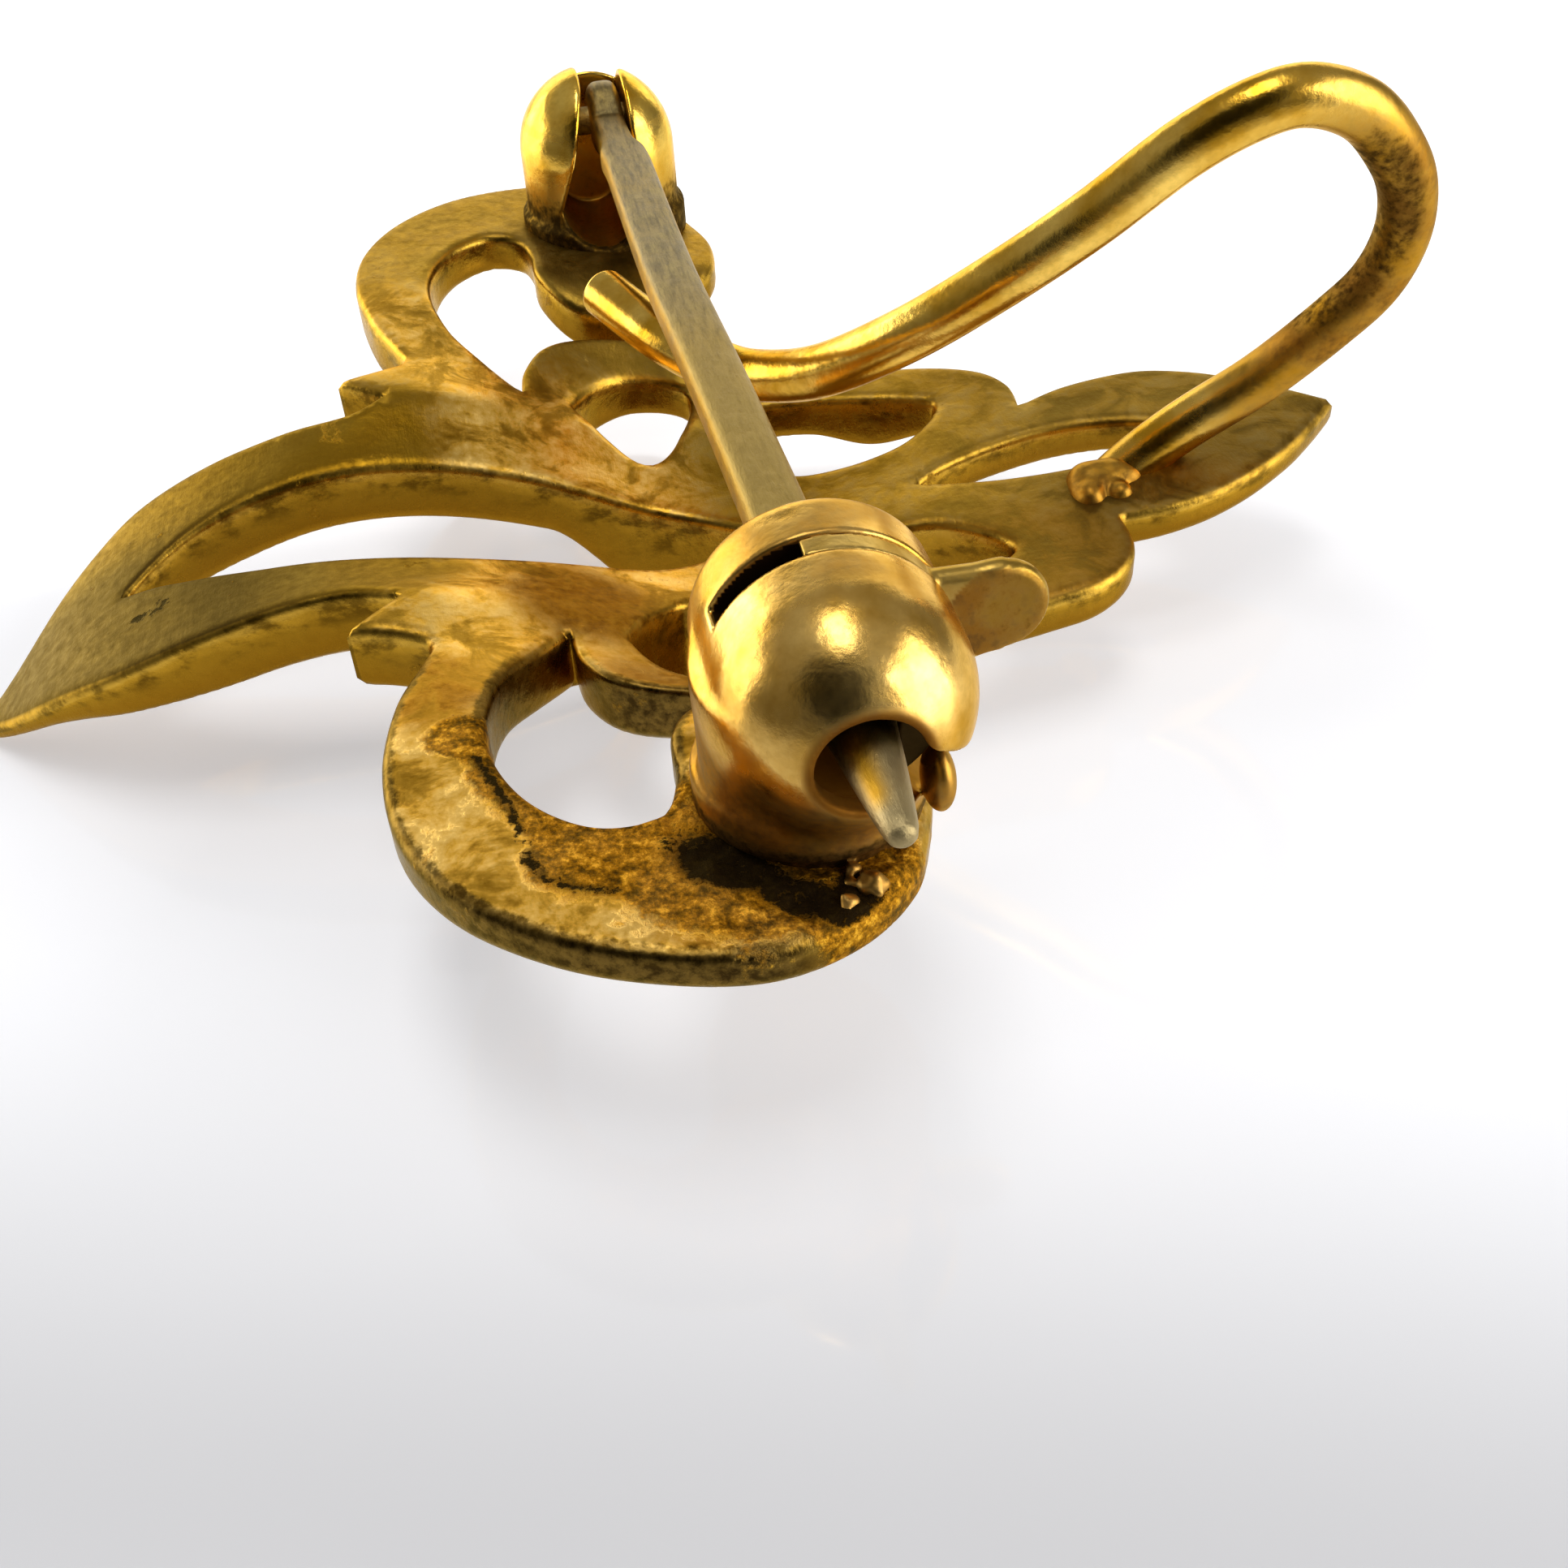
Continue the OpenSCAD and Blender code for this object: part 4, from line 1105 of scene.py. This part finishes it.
def area_light(name, direction, distance, size, power, color=(1, 1, 1)):
    light = bpy.data.lights.new(name, "AREA")
    light.shape = "RECTANGLE"
    light.size, light.size_y = size
    light.energy = power
    light.color = color
    obj = bpy.data.objects.new(name, light)
    d = Vector(direction).normalized()
    obj.location = AIM + d * distance
    obj.rotation_euler = (-d).to_track_quat("-Z", "Y").to_euler()
    bpy.context.scene.collection.objects.link(obj)


area_light("left_softbox", (-0.80, 0.56, 0.14), 0.35, (0.32, 0.22), 0.75, (1, 0.98, 0.95))
area_light("right_softbox", (0.84, -0.40, 0.34), 0.35, (0.30, 0.28), 1.1)
area_light("top_light", (-0.02, 0.0, 1.0), 0.20, (0.12, 0.06), 0.12)
area_light("back_panel", (0.0, 0.96, 0.28), 0.39, (0.8, 0.2), 0.875)

# The room: dim, darker low down, and nearly black in a patch behind the camera
ROOM_LOW, ROOM_HIGH, ROOM_HIGH_AT = (0.14, 0.135, 0.13, 1), (0.36, 0.36, 0.37, 1), 0.9
PATCH_TOWARDS = (-0.28, -0.72, 0.64)
world = bpy.data.worlds.new("studio")
bpy.context.scene.world = world
world.use_nodes = True
nodes, links = world.node_tree.nodes, world.node_tree.links
direction = nodes.new("ShaderNodeTexCoord").outputs["Generated"]
split = nodes.new("ShaderNodeSeparateXYZ")
links.new(direction, split.inputs[0])
sky = nodes.new("ShaderNodeValToRGB")
sky.color_ramp.elements[0].color = ROOM_LOW
sky.color_ramp.elements[1].color = ROOM_HIGH
sky.color_ramp.elements[1].position = ROOM_HIGH_AT
links.new(split.outputs["Z"], sky.inputs["Fac"])
toward = nodes.new("ShaderNodeVectorMath")
toward.operation = "DOT_PRODUCT"
toward.inputs[1].default_value = PATCH_TOWARDS
links.new(direction, toward.inputs[0])
dark = nodes.new("ShaderNodeMapRange")
for key, number in (("From Min", 0.80), ("From Max", 0.92), ("To Min", 1.0), ("To Max", 0.03)):
    dark.inputs[key].default_value = number
links.new(toward.outputs["Value"], dark.inputs["Value"])
shaded = nodes.new("ShaderNodeVectorMath")
shaded.operation = "SCALE"
links.new(sky.outputs["Color"], shaded.inputs[0])
links.new(dark.outputs["Result"], shaded.inputs["Scale"])
links.new(shaded.outputs["Vector"], nodes["Background"].inputs["Color"])

bpy.context.scene.view_settings.view_transform = "Standard"
bpy.context.scene.view_settings.look = "None"
